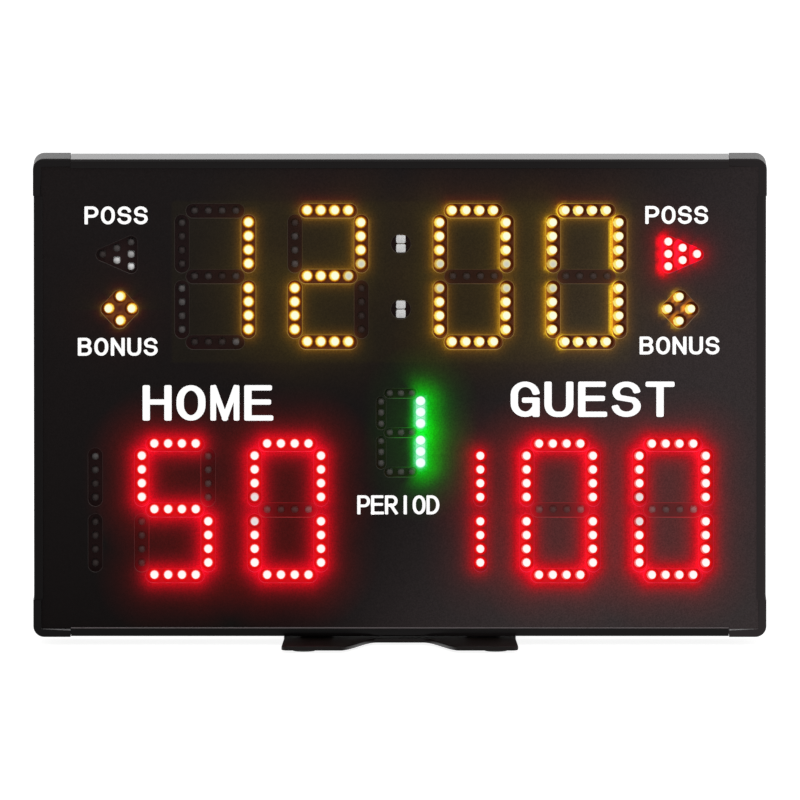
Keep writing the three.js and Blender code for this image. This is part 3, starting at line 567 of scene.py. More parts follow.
def open_with(piece: bpy.types.Object, parts: bpy.types.bpy_prop_collection, chosen: Sequence[int],
              modes: tuple[bool, bool, bool]) -> None:
    """Selects some faces or edges of a piece, and only those, then opens edit mode.

    Args:
        piece: the piece.
        parts: its faces or its edges.
        chosen: the numbers of those that are selected.
        modes: whether points, edges and faces are selected in edit mode.
    """
    choose(piece)
    mesh = piece.data
    for group in (mesh.polygons, mesh.vertices, mesh.edges):
        group.foreach_set("select", [False] * len(group))
    for index in chosen:
        parts[index].select = True
    bpy.context.tool_settings.mesh_select_mode = modes
    bpy.ops.object.mode_set(mode="EDIT")


def pick_faces(piece: bpy.types.Object, test: Callable[[bpy.types.MeshPolygon], bool]) -> None:
    """Opens edit mode with the faces that pass a test selected."""
    faces = piece.data.polygons
    open_with(piece, faces, [face.index for face in faces if test(face)], (False, False, True))


def pick_edges(piece: bpy.types.Object, test: Callable[[Vector, Vector], bool]) -> None:
    """Opens edit mode with the edges whose two ends pass a test selected."""
    places = [vertex.co.copy() for vertex in piece.data.vertices]
    edges = piece.data.edges
    chosen = [edge.index for edge in edges if test(*(places[end] for end in edge.vertices))]
    open_with(piece, edges, chosen, (False, True, False))


def facing(axis: Vector) -> Callable[[bpy.types.MeshPolygon], bool]:
    """Gives a test for faces that look along an axis, within about eight degrees."""
    nearly_along = 0.99
    return lambda face: face.normal.dot(axis) > nearly_along


def bevel_edges(piece: bpy.types.Object, test: Callable[[Vector, Vector], bool], width: float,
                segments: int, material: int = -1) -> None:
    """Rounds the edges that pass a test.

    Args:
        piece: the piece.
        test: takes an edge's two ends and says whether it is wanted.
        width: how far the round reaches from the edge.
        segments: how many steps the round has.
        material: the material slot of the round's faces, or -1 to keep that of their neighbours.
    """
    pick_edges(piece, test)
    bpy.ops.mesh.bevel(offset=width, segments=segments, profile=0.5, affect="EDGES", material=material)
    object_mode()


def soften(piece: bpy.types.Object, width: float, segments: int = 2, angle: float = 35.0) -> None:
    """Rounds every sharp edge of a piece with an applied bevel modifier.

    Args:
        piece: the piece.
        width: how far the round reaches from an edge.
        segments: how many steps the round has.
        angle: edges sharper than this many degrees are rounded.
    """
    apply_modifier(piece, "BEVEL", width=width, segments=segments, limit_method="ANGLE",
                   angle_limit=math.radians(angle), harden_normals=False)


def smooth(piece: bpy.types.Object, angle: float) -> None:
    """Shades a piece smooth across edges flatter than an angle in degrees."""
    choose(piece)
    bpy.ops.object.shade_smooth_by_angle(angle=math.radians(angle))


def even_normals(piece: bpy.types.Object) -> None:
    """Lets large flat faces keep their flat shading beside small rounds."""
    apply_modifier(piece, "WEIGHTED_NORMAL", keep_sharp=True)


def combine(piece: bpy.types.Object, other: bpy.types.Object, operation: str) -> None:
    """Cuts one piece by another or fuses them, and removes the other, whose finish stays on its faces.

    Args:
        piece: the piece that is kept.
        other: the piece that cuts it or is fused to it.
        operation: DIFFERENCE or UNION.
    """
    apply_modifier(piece, "BOOLEAN", operation=operation, solver="EXACT", material_mode="TRANSFER",
                   object=other)
    bpy.data.objects.remove(other)


def cut(piece: bpy.types.Object, cutter: bpy.types.Object) -> None:
    """Cuts one piece by another and removes the cutter."""
    combine(piece, cutter, "DIFFERENCE")


def joined(pieces: Sequence[bpy.types.Object], name: str) -> bpy.types.Object:
    """Joins pieces into one.

    Args:
        pieces: the pieces, of which the first is kept.
        name: the name of the whole.

    Returns:
        The joined piece.
    """
    choose(*pieces)
    if len(pieces) > 1:
        bpy.ops.object.join()
    whole = active()
    whole.name = name
    return whole


def placed_copy(source: bpy.types.Object, name: str, matrix: Matrix) -> bpy.types.Object:
    """Copies a piece with a mesh of its own, moved by a matrix.

    Args:
        source: the piece that is copied.
        name: the copy's name.
        matrix: where the copy goes.

    Returns:
        The copy.
    """
    copy = source.copy()
    copy.data = source.data.copy()
    copy.data.transform(matrix)
    copy.name = name
    bpy.context.scene.collection.objects.link(copy)
    return copy


def outline_plate(name: str, points: Sequence[Point], bottom: float, top: float) -> bpy.types.Object:
    """Makes a flat plate from a filled circle whose corners are drawn out to an outline.

    Args:
        name: the piece's name.
        points: the outline, anticlockwise as seen from above.
        bottom: the plate's underside.
        top: the plate's upper side.

    Returns:
        The plate.
    """
    deselect()
    bpy.ops.mesh.primitive_circle_add(vertices=len(points), radius=1, fill_type="NGON")
    plate = active()
    plate.name = name
    for vertex, (x, y) in zip(plate.data.vertices, points):
        vertex.co = (x, y, bottom)
    plate.data.update()
    edit_all(plate)
    extrude((0, 0, top - bottom))
    bpy.ops.mesh.select_all(action="SELECT")
    bpy.ops.mesh.normals_make_consistent(inside=False)
    object_mode()
    return plate


def refined_node(node: str, width: float, segments: int = 2) -> bpy.types.Object:
    """Copies a CAD node, merges it into clean faces and rounds its edges.

    Args:
        node: the node's name.
        width: how far each edge is rounded.
        segments: how many steps a round has.

    Returns:
        The new piece, which replaces the node.
    """
    weld = 0.002 * MM
    flat_angle = math.radians(1)
    sharp_angle = 40
    piece = in_scene(f"{node}_shaped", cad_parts[node].data.copy())
    piece.data.materials.clear()
    edit_all(piece)
    bpy.ops.mesh.remove_doubles(threshold=weld)
    bpy.ops.mesh.dissolve_limited(angle_limit=flat_angle)
    bpy.ops.mesh.normals_make_consistent(inside=False)
    object_mode()
    soften(piece, width, segments, sharp_angle)
    return piece


def paint(piece: bpy.types.Object, *shades: Shade) -> None:
    """Gives a piece its finishes in the order of its material slots."""
    piece.data.materials.clear()
    for shade in shades:
        piece.data.materials.append(finishes.get(shade))


def repaint(piece: bpy.types.Object, *shades: Shade) -> None:
    """Changes the finishes in a piece's material slots and leaves its faces in their slots."""
    for slot, shade in enumerate(shades):
        piece.data.materials[slot] = finishes.get(shade)


def finish_piece(piece: bpy.types.Object, body: str, nodes: Iterable[str] = ()) -> None:
    """Ties a finished piece to its body and the nodes that it stands for.

    Args:
        piece: the piece.
        body: the body that it moves with.
        nodes: the CAD nodes that it replaces.
    """
    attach(piece, body)
    if nodes:
        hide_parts(*nodes)
    log.info("%s rides on %s: %d faces", piece.name, body, len(piece.data.polygons))


def finish_smooth(piece: bpy.types.Object, angle: float, shade: Shade, body: str,
                  node: str) -> None:
    """Shades a piece smooth and gives it its finish and body.

    Args:
        piece: the piece.
        angle: edges flatter than this many degrees are shaded smooth.
        shade: its finish.
        body: the body that it moves with.
        node: the CAD node that it replaces.
    """
    smooth(piece, angle)
    even_normals(piece)
    paint(piece, shade)
    finish_piece(piece, body, [node])


def finish_refined(node: str, shade: Shade, body: str, width: float, segments: int = 2) -> None:
    """Refines a CAD node and gives it its finish and body.

    Args:
        node: the node's name.
        shade: its finish.
        body: the body that it moves with.
        width: how far each edge is rounded.
        segments: how many steps a round has.
    """
    finish_smooth(refined_node(node, width, segments), FINE_ANGLE, shade, body, node)


def dress_node(node: str, shade: Shade) -> None:
    """Gives a CAD node that stays its finish."""
    paint(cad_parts[node], shade)
    log.info("%s keeps its solid, in %s", node, shade.value.name)


def middle_of(node: str) -> Vector:
    """Gives the middle of a node's box."""
    low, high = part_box(node)
    return (low + high) / 2


class Lamp:
    """One round lamp with a domed lens, on a collar that lies on the board."""

    DISTANCE = "lamp_distance"
    OFFSET = "lamp_offset"
    LENS_RADIUS = 2.5 * MM
    LENGTH = 8.6 * MM
    COLLAR_THICKNESS = 0.4 * MM
    RING_RADII = (3.0 * MM, 3.7 * MM)
    DOME_STEPS = 3
    TURN_STEPS = 12

    def __init__(self, collar_radius: float) -> None:
        """Keeps the collar's size; the mesh is made when it is first asked for."""
        self.collar_radius = collar_radius
        self.pattern: bpy.types.Object | None = None

    def profile(self) -> list[Point]:
        """Gives distance from the axis and height above the board, from the collar's rim to the tip."""
        rings = [radius for radius in reversed(self.RING_RADII) if radius < self.collar_radius]
        points = [(self.collar_radius, 0.0), (self.collar_radius, self.COLLAR_THICKNESS)]
        points += [(radius, self.COLLAR_THICKNESS) for radius in rings]
        points.append((self.LENS_RADIUS, self.COLLAR_THICKNESS))
        shoulder = self.LENGTH - self.LENS_RADIUS
        for step in range(self.DOME_STEPS + 1):
            angle = math.pi / 2 * step / self.DOME_STEPS
            points.append((self.LENS_RADIUS * math.cos(angle), shoulder + self.LENS_RADIUS * math.sin(angle)))
        return points

    def build(self) -> bpy.types.Object:
        """Spins the profile into the lamp that the others are copied from, along -Y from the origin."""
        if self.pattern:
            return self.pattern
        points = self.profile()
        mesh = bpy.data.meshes.new("lamp")
        edges = [(index, index + 1) for index in range(len(points) - 1)]
        mesh.from_pydata([(radius, -height, 0.0) for radius, height in points], edges, [])
        lamp = in_scene("lamp", mesh)
        edit_all(lamp)
        bpy.ops.mesh.spin(steps=self.TURN_STEPS, angle=2 * math.pi, center=(0, 0, 0), axis=(0, 1, 0))
        bpy.ops.mesh.select_all(action="SELECT")
        bpy.ops.mesh.remove_doubles(threshold=TINY)
        object_mode()
        pick_edges(lamp, lambda a, b: abs(a.y) < TINY and abs(b.y) < TINY)
        bpy.ops.mesh.edge_face_add()
        bpy.ops.mesh.select_all(action="SELECT")
        bpy.ops.mesh.normals_make_consistent(inside=False)
        object_mode()
        smooth(lamp, ROUND_ANGLE)
        distance = lamp.data.attributes.new(self.DISTANCE, "FLOAT", "POINT")
        reach = 2 * self.LENS_RADIUS
        distance.data.foreach_set("value", [math.hypot(v.co.x, v.co.z) / reach for v in lamp.data.vertices])
        self.pattern = lamp
        return lamp

    def discard(self) -> None:
        """Removes the lamp that the others were copied from."""
        if self.pattern:
            bpy.data.objects.remove(self.pattern)
            self.pattern = None


class SquareLamp(Lamp):
    """One square lamp of the colon, with rounded corners; its near-white lens is a painted reflection."""

    REACH = 4.6 * MM
    WIDTH = 6.8 * MM
    HEIGHT = 5.9 * MM
    CORNER = 1.3 * MM
    EDGE = 0.45 * MM

    def build(self) -> bpy.types.Object:
        """Shapes the lamp that the others are copied from, along -Y from the origin."""
        if self.pattern:
            return self.pattern
        half, rise = self.WIDTH / 2, self.HEIGHT / 2
        lamp = cuboid("square_lamp", (-half, -self.LENGTH, -rise), (half, 0, rise))
        bevel_edges(lamp, lambda a, b: abs(a.x - b.x) + abs(a.z - b.z) < TINY, self.CORNER, 4)
        bevel_edges(lamp, lambda a, b: max(a.y, b.y) < TINY - self.LENGTH, self.EDGE, 2)
        smooth(lamp, ROUND_ANGLE)
        lamp.data.attributes.new(self.DISTANCE, "FLOAT", "POINT")
        self.pattern = lamp
        return lamp


@dataclass
class Cell:
    """One opening of the front with its lamps: a segment, a dot, an arrow or a diamond.

    Corners are the middles of the opening's round ends, and everything is about the display's middle.
    The red values say how much green the far glow loses above and below the lamps.
    """

    corners: list[Point]
    radius: float
    lamps: list[Point]
    lit: bool = False
    # How far each unlit lens is painted paler: painted highlights and painted light from lit neighbours
    lens_highlight_shares: tuple[float, ...] = (0.008,)
    dark_reach: float = 3.02 * MM
    dark_patch: float = 2.4 * MM
    tired_lamp: int | None = None
    red_above: float = 0.0
    red_below: float = 0.0


class LampColour(Enum):
    """The colours of the lamps: the finish when lit, when aged, and that of the edges that it lights."""

    AMBER = (Shade.AMBER_LAMP, Shade.TIRED_AMBER_LAMP, Shade.AMBER_EDGE)
    RED = (Shade.RED_LAMP, Shade.TIRED_RED_LAMP, Shade.RED_EDGE)
    GREEN = (Shade.GREEN_LAMP, Shade.GREEN_LAMP, Shade.GREEN_EDGE)


@dataclass(frozen=True)
class Spill:
    """The light that a lit cell throws on the black sheet, by distance from its line of lamps.

    Lamps on the right lean a little, so that they throw more of their light to the left.

    Args:
        distances: millimetres from the line, from the nearest up.
        light: red, green and blue in linear light at each distance.
        board_share: the share of it that the lamps' own board gives off.
        left_light: the light at each distance straight to the left, where that differs.
        lean_start: where the lamps start to lean.
        lean_run: how far to the right of that they lean fully.
        left_gain: how much more light a full lean throws to the left, as a share.
        left_reach: how many metres nearer the left side then seems.
        near_gain: how much more light still a full lean throws right beside the lamps, as shares.
        near_end: how far that light reaches.
        right_loss: the share of the light that the right side loses.
        lamp_shift: how far the glow on a fully leaning lamp's collar moves to the left.
        board_tint: how much of each colour the board gives off.
    """

    distances: tuple[float, ...]
    light: tuple[Colour, ...]
    board_share: float
    left_light: tuple[Colour, ...] = ()
    lean_start: float = 0.0
    lean_run: float = 1.0
    left_gain: float = 0.0
    left_reach: float = 0.0
    near_gain: Colour = (0.0, 0.0, 0.0)
    near_end: float = 8.2 * MM
    right_loss: float = 0.0
    lamp_shift: float = 0.0
    board_tint: Colour = (1.0, 1.0, 1.0)

    NEAR_RUN = 1.8 * MM
    RED_START = 5.5 * MM
    RED_RUN = 2.5 * MM
    NEAR_MOST = 1.3
    NEAR_POWER = 4
    LOSS_GROWTH = 3
    LEFT_GROWTH = 2
    LEAST_DISTANCE = 1e-9
    LEAST_SQUARE = 1e-12

    def lean(self, x: float) -> float:
        """Gives how far a lamp at a place across leans to the left: 1 is fully, below 0 to the right."""
        return min(max((x - self.lean_start) / self.lean_run, -1.0), 1.0)

    def at(self, places: np.ndarray, lines: Sequence[tuple[Point, Point]], near_left: float = 0.0,
           red: tuple[float, float] = (0.0, 0.0)) -> np.ndarray:
        """Gives the light at places on the front.

        Args:
            places: one row of x and z for each place.
            lines: the ends of each line of lamps in the cell.
            near_left: how much more light there is right beside the lamps on the left, as a share.
            red: how much green the far glow loses above and below the lamps, as shares.

        Returns:
            One row of red, green and blue for each place.
        """
        lean = max(self.lean(sum(start[0] + end[0] for start, end in lines) / (2 * len(lines))), 0.0)
        nearest = np.full(len(places), np.inf)
        leftward = np.zeros(len(places))
        upward = np.zeros(len(places))
        for start, end in lines:
            a, b = np.array(start), np.array(end)
            run = b - a
            length = max(float(run @ run), self.LEAST_SQUARE)
            share = np.clip((places - a) @ run / length, 0, 1)[:, None]
            offset = places - (a + share * run)
            distance = np.hypot(offset[:, 0], offset[:, 1])
            closer = distance < nearest
            divisor = np.maximum(distance, self.LEAST_DISTANCE)
            leftward = np.where(closer, -offset[:, 0] / divisor, leftward)
            upward = np.where(closer, offset[:, 1] / divisor, upward)
            nearest = np.where(closer, distance, nearest)
        to_left, to_right = np.clip(leftward, 0, 1), np.clip(-leftward, 0, 1)
        light = self.along(nearest - lean * self.left_reach * to_left, self.light)
        loss = min(1.0, self.LOSS_GROWTH * lean) * self.right_loss
        near = (np.clip((self.near_end - nearest) / self.NEAR_RUN, 0, self.NEAR_MOST) * to_left)[:, None]
        light *= (1 + lean * self.left_gain * to_left - loss * to_right)[:, None]
        light *= 1 + (lean ** self.NEAR_POWER * np.array(self.near_gain) + near_left) * near
        far = np.clip((nearest - self.RED_START) / self.RED_RUN, 0, 1)
        light[:, 1] *= 1 - far * np.where(upward > 0, red[0] * upward, red[1])
        if self.left_light:
            blend = np.clip(self.LEFT_GROWTH * to_left ** 2, 0, 1)[:, None]
            light += blend * (self.along(nearest, self.left_light) - light)
        return light

    def along(self, distance: np.ndarray, light: Sequence[Colour]) -> np.ndarray:
        """Reads a table of light at the given distances."""
        steps = np.array(self.distances) * MM
        return np.stack([np.interp(distance, steps, [c[part] for c in light]) for part in range(3)], axis=1)


SPILLS = {
    LampColour.AMBER: Spill(
        (4.4, 5.3, 6.0, 8.2, 10.3, 12.4, 14.6, 20.0, 32.0, 45.0),
        ((0.10, 0.030, 0.0), (0.19, 0.085, 0.004), (0.10, 0.040, 0.0), (0.044, 0.020, 0.0),
         (0.026, 0.012, 0.0), (0.014, 0.008, 0.0), (0.009, 0.0055, 0.0), (0.005, 0.003, 0.0),
         (0.002, 0.001, 0.0), (0.0, 0.0, 0.0)),
        board_share=0.6, lean_start=-110 * MM, lean_run=260 * MM, left_gain=0.95, left_reach=0.9 * MM,
        near_gain=(2.2, 3.3, 2.0), right_loss=0.2, lamp_shift=2.0 * MM, board_tint=(1.0, 0.6, 1.0),
    ),
    LampColour.RED: Spill(
        (4.4, 5.1, 6.6, 8.0, 9.5, 10.9, 12.3, 13.7, 15.1, 16.6, 19.4, 22.0, 25.6, 32.0, 42.0),
        ((0.66, 0.0, 0.004), (0.62, 0.0, 0.005), (0.52, 0.0, 0.007), (0.36, 0.0, 0.005),
         (0.26, 0.0, 0.004), (0.18, 0.0, 0.003), (0.13, 0.0, 0.002), (0.094, 0.0, 0.002),
         (0.070, 0.0, 0.001), (0.054, 0.0, 0.001), (0.032, 0.0, 0.0), (0.023, 0.0, 0.0),
         (0.015, 0.0, 0.0), (0.007, 0.0, 0.0), (0.0, 0.0, 0.0)),
        board_share=1.0, lean_start=-120 * MM, lean_run=340 * MM, left_gain=0.55, near_end=10.2 * MM,
        right_loss=0.3, lamp_shift=0.8 * MM,
    ),
    LampColour.GREEN: Spill(
        (2.8, 3.6, 4.3, 5.1, 7.3, 9.4, 11.5, 13.7, 15.8, 17.9, 20.0, 22.2, 24.3, 28.0, 34.0, 42.0),
        ((0.45, 0.95, 0.70), (0.08, 0.82, 0.22), (0.02, 0.68, 0.07), (0.0, 0.58, 0.015),
         (0.0, 0.43, 0.003), (0.0, 0.31, 0.001), (0.0, 0.225, 0.0), (0.0, 0.16, 0.0),
         (0.0, 0.105, 0.0), (0.0, 0.068, 0.0), (0.0, 0.045, 0.0), (0.0, 0.031, 0.0),
         (0.0, 0.022, 0.0), (0.0, 0.013, 0.0), (0.0, 0.006, 0.0), (0.0, 0.0, 0.0)),
        board_share=1.0,
        left_light=(
            (0.45, 0.95, 0.70), (0.12, 0.80, 0.30), (0.03, 0.56, 0.08), (0.0, 0.38, 0.01),
            (0.0, 0.09, 0.003), (0.0, 0.020, 0.001), (0.0, 0.010, 0.0), (0.0, 0.010, 0.0),
            (0.0, 0.010, 0.0), (0.0, 0.009, 0.0), (0.0, 0.009, 0.0), (0.0, 0.008, 0.0),
            (0.0, 0.007, 0.0), (0.0, 0.005, 0.0), (0.0, 0.003, 0.0), (0.0, 0.0, 0.0)),
    ),
}


@dataclass
class DigitStyle:
    """The measures of a seven-segment digit made of rows of lamps."""

    count: int
    pitch: float
    column: float
    upright: float
    slot_radius: float
    slot_end: float
    collar_radius: float

    def segment(self, x: float, z: float, upright: bool, lit: bool, shares: tuple[float, ...]) -> Cell:
        """Makes one segment.

        Args:
            x: its middle across.
            z: its middle up.
            upright: whether it stands up.
            lit: whether its lamps are on.
            shares: how bright its lenses are when they are off.

        Returns:
            The segment's cell.
        """
        first = -(self.count - 1) * self.pitch / 2
        steps = [first + index * self.pitch for index in range(self.count)]
        ends = (-self.slot_end, self.slot_end)

        def along(step: float) -> Point:
            """Gives the point of the segment at a distance from its middle."""
            return (x, z + step) if upright else (x + step, z)

        lamps = [along(step) for step in steps]
        return Cell([along(end) for end in ends], self.slot_radius, lamps, lit, shares)


# The segments that each number lights: top, upper right, lower right, bottom, lower left, upper left, middle
LIT_SEGMENTS = {"0": "abcdef", "1": "bc", "2": "abged", "5": "afgcd"}
MAIN_STYLE = DigitStyle(4, 9.8 * MM, 23.6 * MM, 23.4 * MM, 5.1 * MM, 15.7 * MM, 4.85 * MM)
PERIOD_STYLE = DigitStyle(3, 8.0 * MM, 14.0 * MM, 14.05 * MM, 3.5 * MM, 8.4 * MM, 3.9 * MM)
PLAIN_DARK = (0.008,)
# The lamp of each segment that lies next to the middle of the digit
MIDDLE_LAMPS = {"b": 0, "c": -1, "e": -1, "f": 0, "g": -1}


def digit_cells(style: DigitStyle, number: str, dark: dict[str, tuple[float, ...]] | None = None,
                tired: str = "") -> list[Cell]:
    """Makes the seven segments of a digit.

    Args:
        style: the digit's measures.
        number: the number that it shows.
        dark: how bright the lenses of a segment are when off, where that differs.
        tired: the segments whose lamp beside the digit's middle has aged.

    Returns:
        One cell for each segment.
    """
    column, upright = style.column, style.upright
    places = {
        "a": (0.0, 2 * upright, False), "b": (column, upright, True), "c": (column, -upright, True),
        "d": (0.0, -2 * upright, False), "e": (-column, -upright, True), "f": (-column, upright, True),
        "g": (0.0, 0.0, False),
    }
    lit = LIT_SEGMENTS[number]
    shares = dark or {}
    cells = []
    for letter, (x, z, stands) in places.items():
        cell = style.segment(x, z, stands, letter in lit, shares.get(letter, PLAIN_DARK))
        if letter in tired:
            cell.tired_lamp = MIDDLE_LAMPS[letter] % style.count
        cells.append(cell)
    return cells


def leading_one(style: DigitStyle, lit: bool, shares: tuple[tuple[float, ...], ...]) -> list[Cell]:
    """Makes the two upright segments of a place that can only show a one.

    Args:
        style: the digit's measures.
        lit: whether its lamps are on.
        shares: how bright the lenses of the upper and the lower segment are when off.

    Returns:
        The two cells.
    """
    return [style.segment(0.0, z, True, lit, share)
            for z, share in zip((style.upright, -style.upright), shares)]


def colon_cells(rise: float, radius: float, pitch: float) -> list[Cell]:
    """Makes the colon's two holes, each with a pair of unlit lamps whose lenses are painted nearly white, a
    painted reflection.

    Args:
        rise: the holes' distance above and below the middle.
        radius: a hole's radius.
        pitch: the distance between the two lamps of a pair.

    Returns:
        The two cells.
    """
    return [Cell([(0.0, z)], radius, [(0.0, z - pitch / 2), (0.0, z + pitch / 2)], False, (0.85,),
                 dark_reach=radius, dark_patch=2 * radius) for z in (-rise, rise)]


def arrow_cells(side: int, lit: bool, pitch: Point, radius: float, shares: tuple[float, ...]) -> list[Cell]:
    """Makes an arrow: a triangle of six lamps that points to one side.

    Args:
        side: 1 to point right, -1 to point left.
        lit: whether its lamps are on.
        pitch: the distance between columns and between lamps in a column.
        radius: the radius of the opening's corners.
        shares: how bright the lenses are when off, column by column from the wide side, from below up.

    Returns:
        One cell.
    """
    lamps = []
    for column in range(3):
        count = 3 - column
        x = side * (column - 1) * pitch[0]
        lamps += [(x, (row - (count - 1) / 2) * pitch[1]) for row in range(count)]
    corners = [(-side * pitch[0], -pitch[1]), (-side * pitch[0], pitch[1]), (side * pitch[0], 0.0)]
    return [Cell(corners, radius, lamps, lit, shares)]


def diamond_cells(half_width: float, half_height: float, radius: float) -> list[Cell]:
    """Makes a rounded diamond with a lit lamp in each corner.

    Args:
        half_width: from its middle to a side lamp.
        half_height: from its middle to the upper and lower lamps.
        radius: the radius of the opening's corners.

    Returns:
        One cell.
    """
    corners = [(0.0, -half_height), (half_width, 0.0), (0.0, half_height), (-half_width, 0.0)]
    return [Cell(corners, radius, list(corners), True)]


@dataclass
class Display:
    """One lamp board and the openings in front of it."""

    node: str
    colour: LampColour
    cells: list[Cell]
    collar_radius: float = MAIN_STYLE.collar_radius
    sheet_gain: float = 0.92
    board_gain: float = 1.0
    near_left: float = 0.0
    core_share: float = 1.0

    BOARD_CELL = 2.2 * MM
    HAZE_SHARE = 0.7
    GLOW_DROP = 0.35
    CORE_RADIUS = 3.1 * MM
    LENS_REACH = 1.05 * Lamp.LENS_RADIUS

    def middle(self) -> Point:
        """Gives the display's middle across and up."""
        centre = middle_of(self.node)
        return centre.x, centre.z

    def lines(self, cell: Cell) -> list[tuple[Point, Point]]:
        """Gives a lit cell's lines of lamps in the part's frame."""
        x, z = self.middle()
        lamps = [(x + lamp[0], z + lamp[1]) for lamp in cell.lamps]
        if len(cell.corners) == 2:
            return [(lamps[0], lamps[-1])]
        return [(lamp, lamp) for lamp in lamps]

    def spill_at(self, places: np.ndarray) -> np.ndarray:
        """Gives the light of all its lit cells at places on the front."""
        total = np.zeros((len(places), 3))
        spill = SPILLS[self.colour]
        for cell in self.cells:
            if cell.lit:
                red = (cell.red_above, cell.red_below)
                total += self.sheet_gain * spill.at(places, self.lines(cell), self.near_left, red)
        return total

    def board(self) -> bpy.types.Object:
        """Makes the board, which can hold the light of its lamps."""
        low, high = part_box(self.node)
        depth = LampBoards.THICKNESS
        return thick_grid("lamp_board", low, high, high.y - depth, depth, self.BOARD_CELL)

    def build(self, patterns: dict[float, Lamp]) -> bpy.types.Object:
        """Makes the board with all its lamps as one piece.

        Args:
            patterns: the lamp to copy for each collar radius.

        Returns:
            The finished display.
        """
        board = self.board()
        paint(board, Shade.LAMP_BOARD)
        x, z = self.middle()
        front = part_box(self.node)[1].y - LampBoards.THICKNESS
        pattern = patterns[self.collar_radius].build()
        parts = [board]
        for cell in self.cells:
            for index, (lamp_x, lamp_z) in enumerate(cell.lamps):
                place = Matrix.Translation((x + lamp_x, front, z + lamp_z))
                lamp = placed_copy(pattern, "lamp_copy", place)
                middle = (x + lamp_x, z + lamp_z)
                if cell.lit:
                    paint(lamp, self.colour.value[1 if index == cell.tired_lamp else 0])
                    self.lean_glow(lamp, middle)
                else:
                    self.darken(lamp, cell, cell.lens_highlight_shares[index % len(cell.lens_highlight_shares)], middle)
                parts.append(lamp)
        whole = joined(parts, f"{self.node}_lamps")
        places = np.array([(v.co.x, v.co.z) for v in whole.data.vertices])
        spill = SPILLS[self.colour]
        glow = self.board_gain * spill.board_share * self.spill_at(places) * np.array(spill.board_tint)
        write_light(whole, glow + self.HAZE_SHARE * FrontHaze().beside(places, glow))
        return whole

    def lean_glow(self, lamp: bpy.types.Object, middle: Point) -> None:
        """Moves the glow on a lit lamp's collar to the left, as far as the lamp leans.

        Args:
            lamp: the lamp.
            middle: the lamp's middle across and up.
        """
        spill = SPILLS[self.colour]
        shift = spill.lamp_shift * spill.lean(middle[0])
        values = lamp.data.attributes[Lamp.DISTANCE].data
        for value, vertex in zip(values, lamp.data.vertices):
            across, up = vertex.co.x - middle[0], vertex.co.z - middle[1]
            if math.hypot(across, up) > self.LENS_REACH:
                distance = math.hypot(across + shift, up + shift * self.GLOW_DROP)
                value.value = max(distance / self.core_share, self.CORE_RADIUS) / (2 * Lamp.LENS_RADIUS)

    def darken(self, lamp: bpy.types.Object, cell: Cell, share: float, middle: Point) -> None:
        """Gives an unlit lamp a square patch painted paler on its lens, a painted highlight, on a collar of
        the board's finish.

        Args:
            lamp: the lamp.
            cell: the cell that it is in.
            share: how bright its patch is.
            middle: the lamp's middle across and up.
        """
        mesh = lamp.data
        paint(lamp, Shade.LAMP_BOARD, Shade.DARK_LAMP)
        for face in mesh.polygons:
            reach = math.hypot(face.center.x - middle[0], face.center.z - middle[1])
            face.material_index = 1 if reach < cell.dark_reach else 0
        values = mesh.attributes[Lamp.DISTANCE].data
        values.foreach_set("value", [share] * len(mesh.vertices))
        offsets = mesh.attributes.new(Lamp.OFFSET, "FLOAT_VECTOR", "POINT")
        for offset, vertex in zip(offsets.data, mesh.vertices):
            across, up = vertex.co.x - middle[0], vertex.co.z - middle[1]
            offset.vector = (across / cell.dark_patch, 0, up / cell.dark_patch)


@dataclass(frozen=True)
class FrontHaze:
    """The soft light of the room on the black front, which grows towards the lower right."""

    left_low: float = 0.0018
    left_high: float = 0.0060
    right: float = 0.0192
    right_low_extra: float = 0.0065
    start_low: float = -120 * MM
    start_high: float = 90 * MM
    run: float = 240 * MM
    height: float = 346 * MM
    tint: Colour = (1.26, 1.0, 1.03)
    drowning_glow: float = 0.4
    drowned_share: float = 0.85

    def at(self, places: np.ndarray) -> np.ndarray:
        """Gives the light at places on the front.

        Args:
            places: one row of x and z for each place.

        Returns:
            One row of red, green and blue for each place.
        """
        rise = np.clip(places[:, 1] / self.height, 0, 1)
        start = self.start_low + (self.start_high - self.start_low) * rise
        share = np.clip((places[:, 0] - start) / self.run, 0, 1)
        share = share * share * (3 - 2 * share)
        left = self.left_low + (self.left_high - self.left_low) * rise
        right = self.right + self.right_low_extra * (1 - rise)
        return (left + (right - left) * share)[:, None] * np.array(self.tint)

    def beside(self, places: np.ndarray, glow: np.ndarray) -> np.ndarray:
        """Gives the light at places on the front where the lamps' own glow drowns a part of it.

        Args:
            places: one row of x and z for each place.
            glow: the lamps' glow at each place.

        Returns:
            One row of red, green and blue for each place.
        """
        drowned = np.clip(glow.max(axis=1) / self.drowning_glow, 0, 1)
        return self.at(places) * (1 - self.drowned_share * drowned)[:, None]


def add_haze(piece: bpy.types.Object, share: float = 1.0) -> None:
    """Stores the room's soft light on a piece of the front, as a share of what the sheet gets."""
    places = np.array([(v.co.x, v.co.z) for v in piece.data.vertices])
    write_light(piece, share * FrontHaze().at(places))


def write_light(piece: bpy.types.Object, light: np.ndarray) -> None:
    """Stores light on a piece's points for its finish to give off.

    Args:
        piece: the piece.
        light: one row of red, green and blue for each point.
    """
    layer = piece.data.color_attributes.new(name=LIGHT, type="FLOAT_COLOR", domain="POINT")
    rows = np.ones((len(light), 4))
    rows[:, :3] = light
    layer.data.foreach_set("color", rows.ravel())


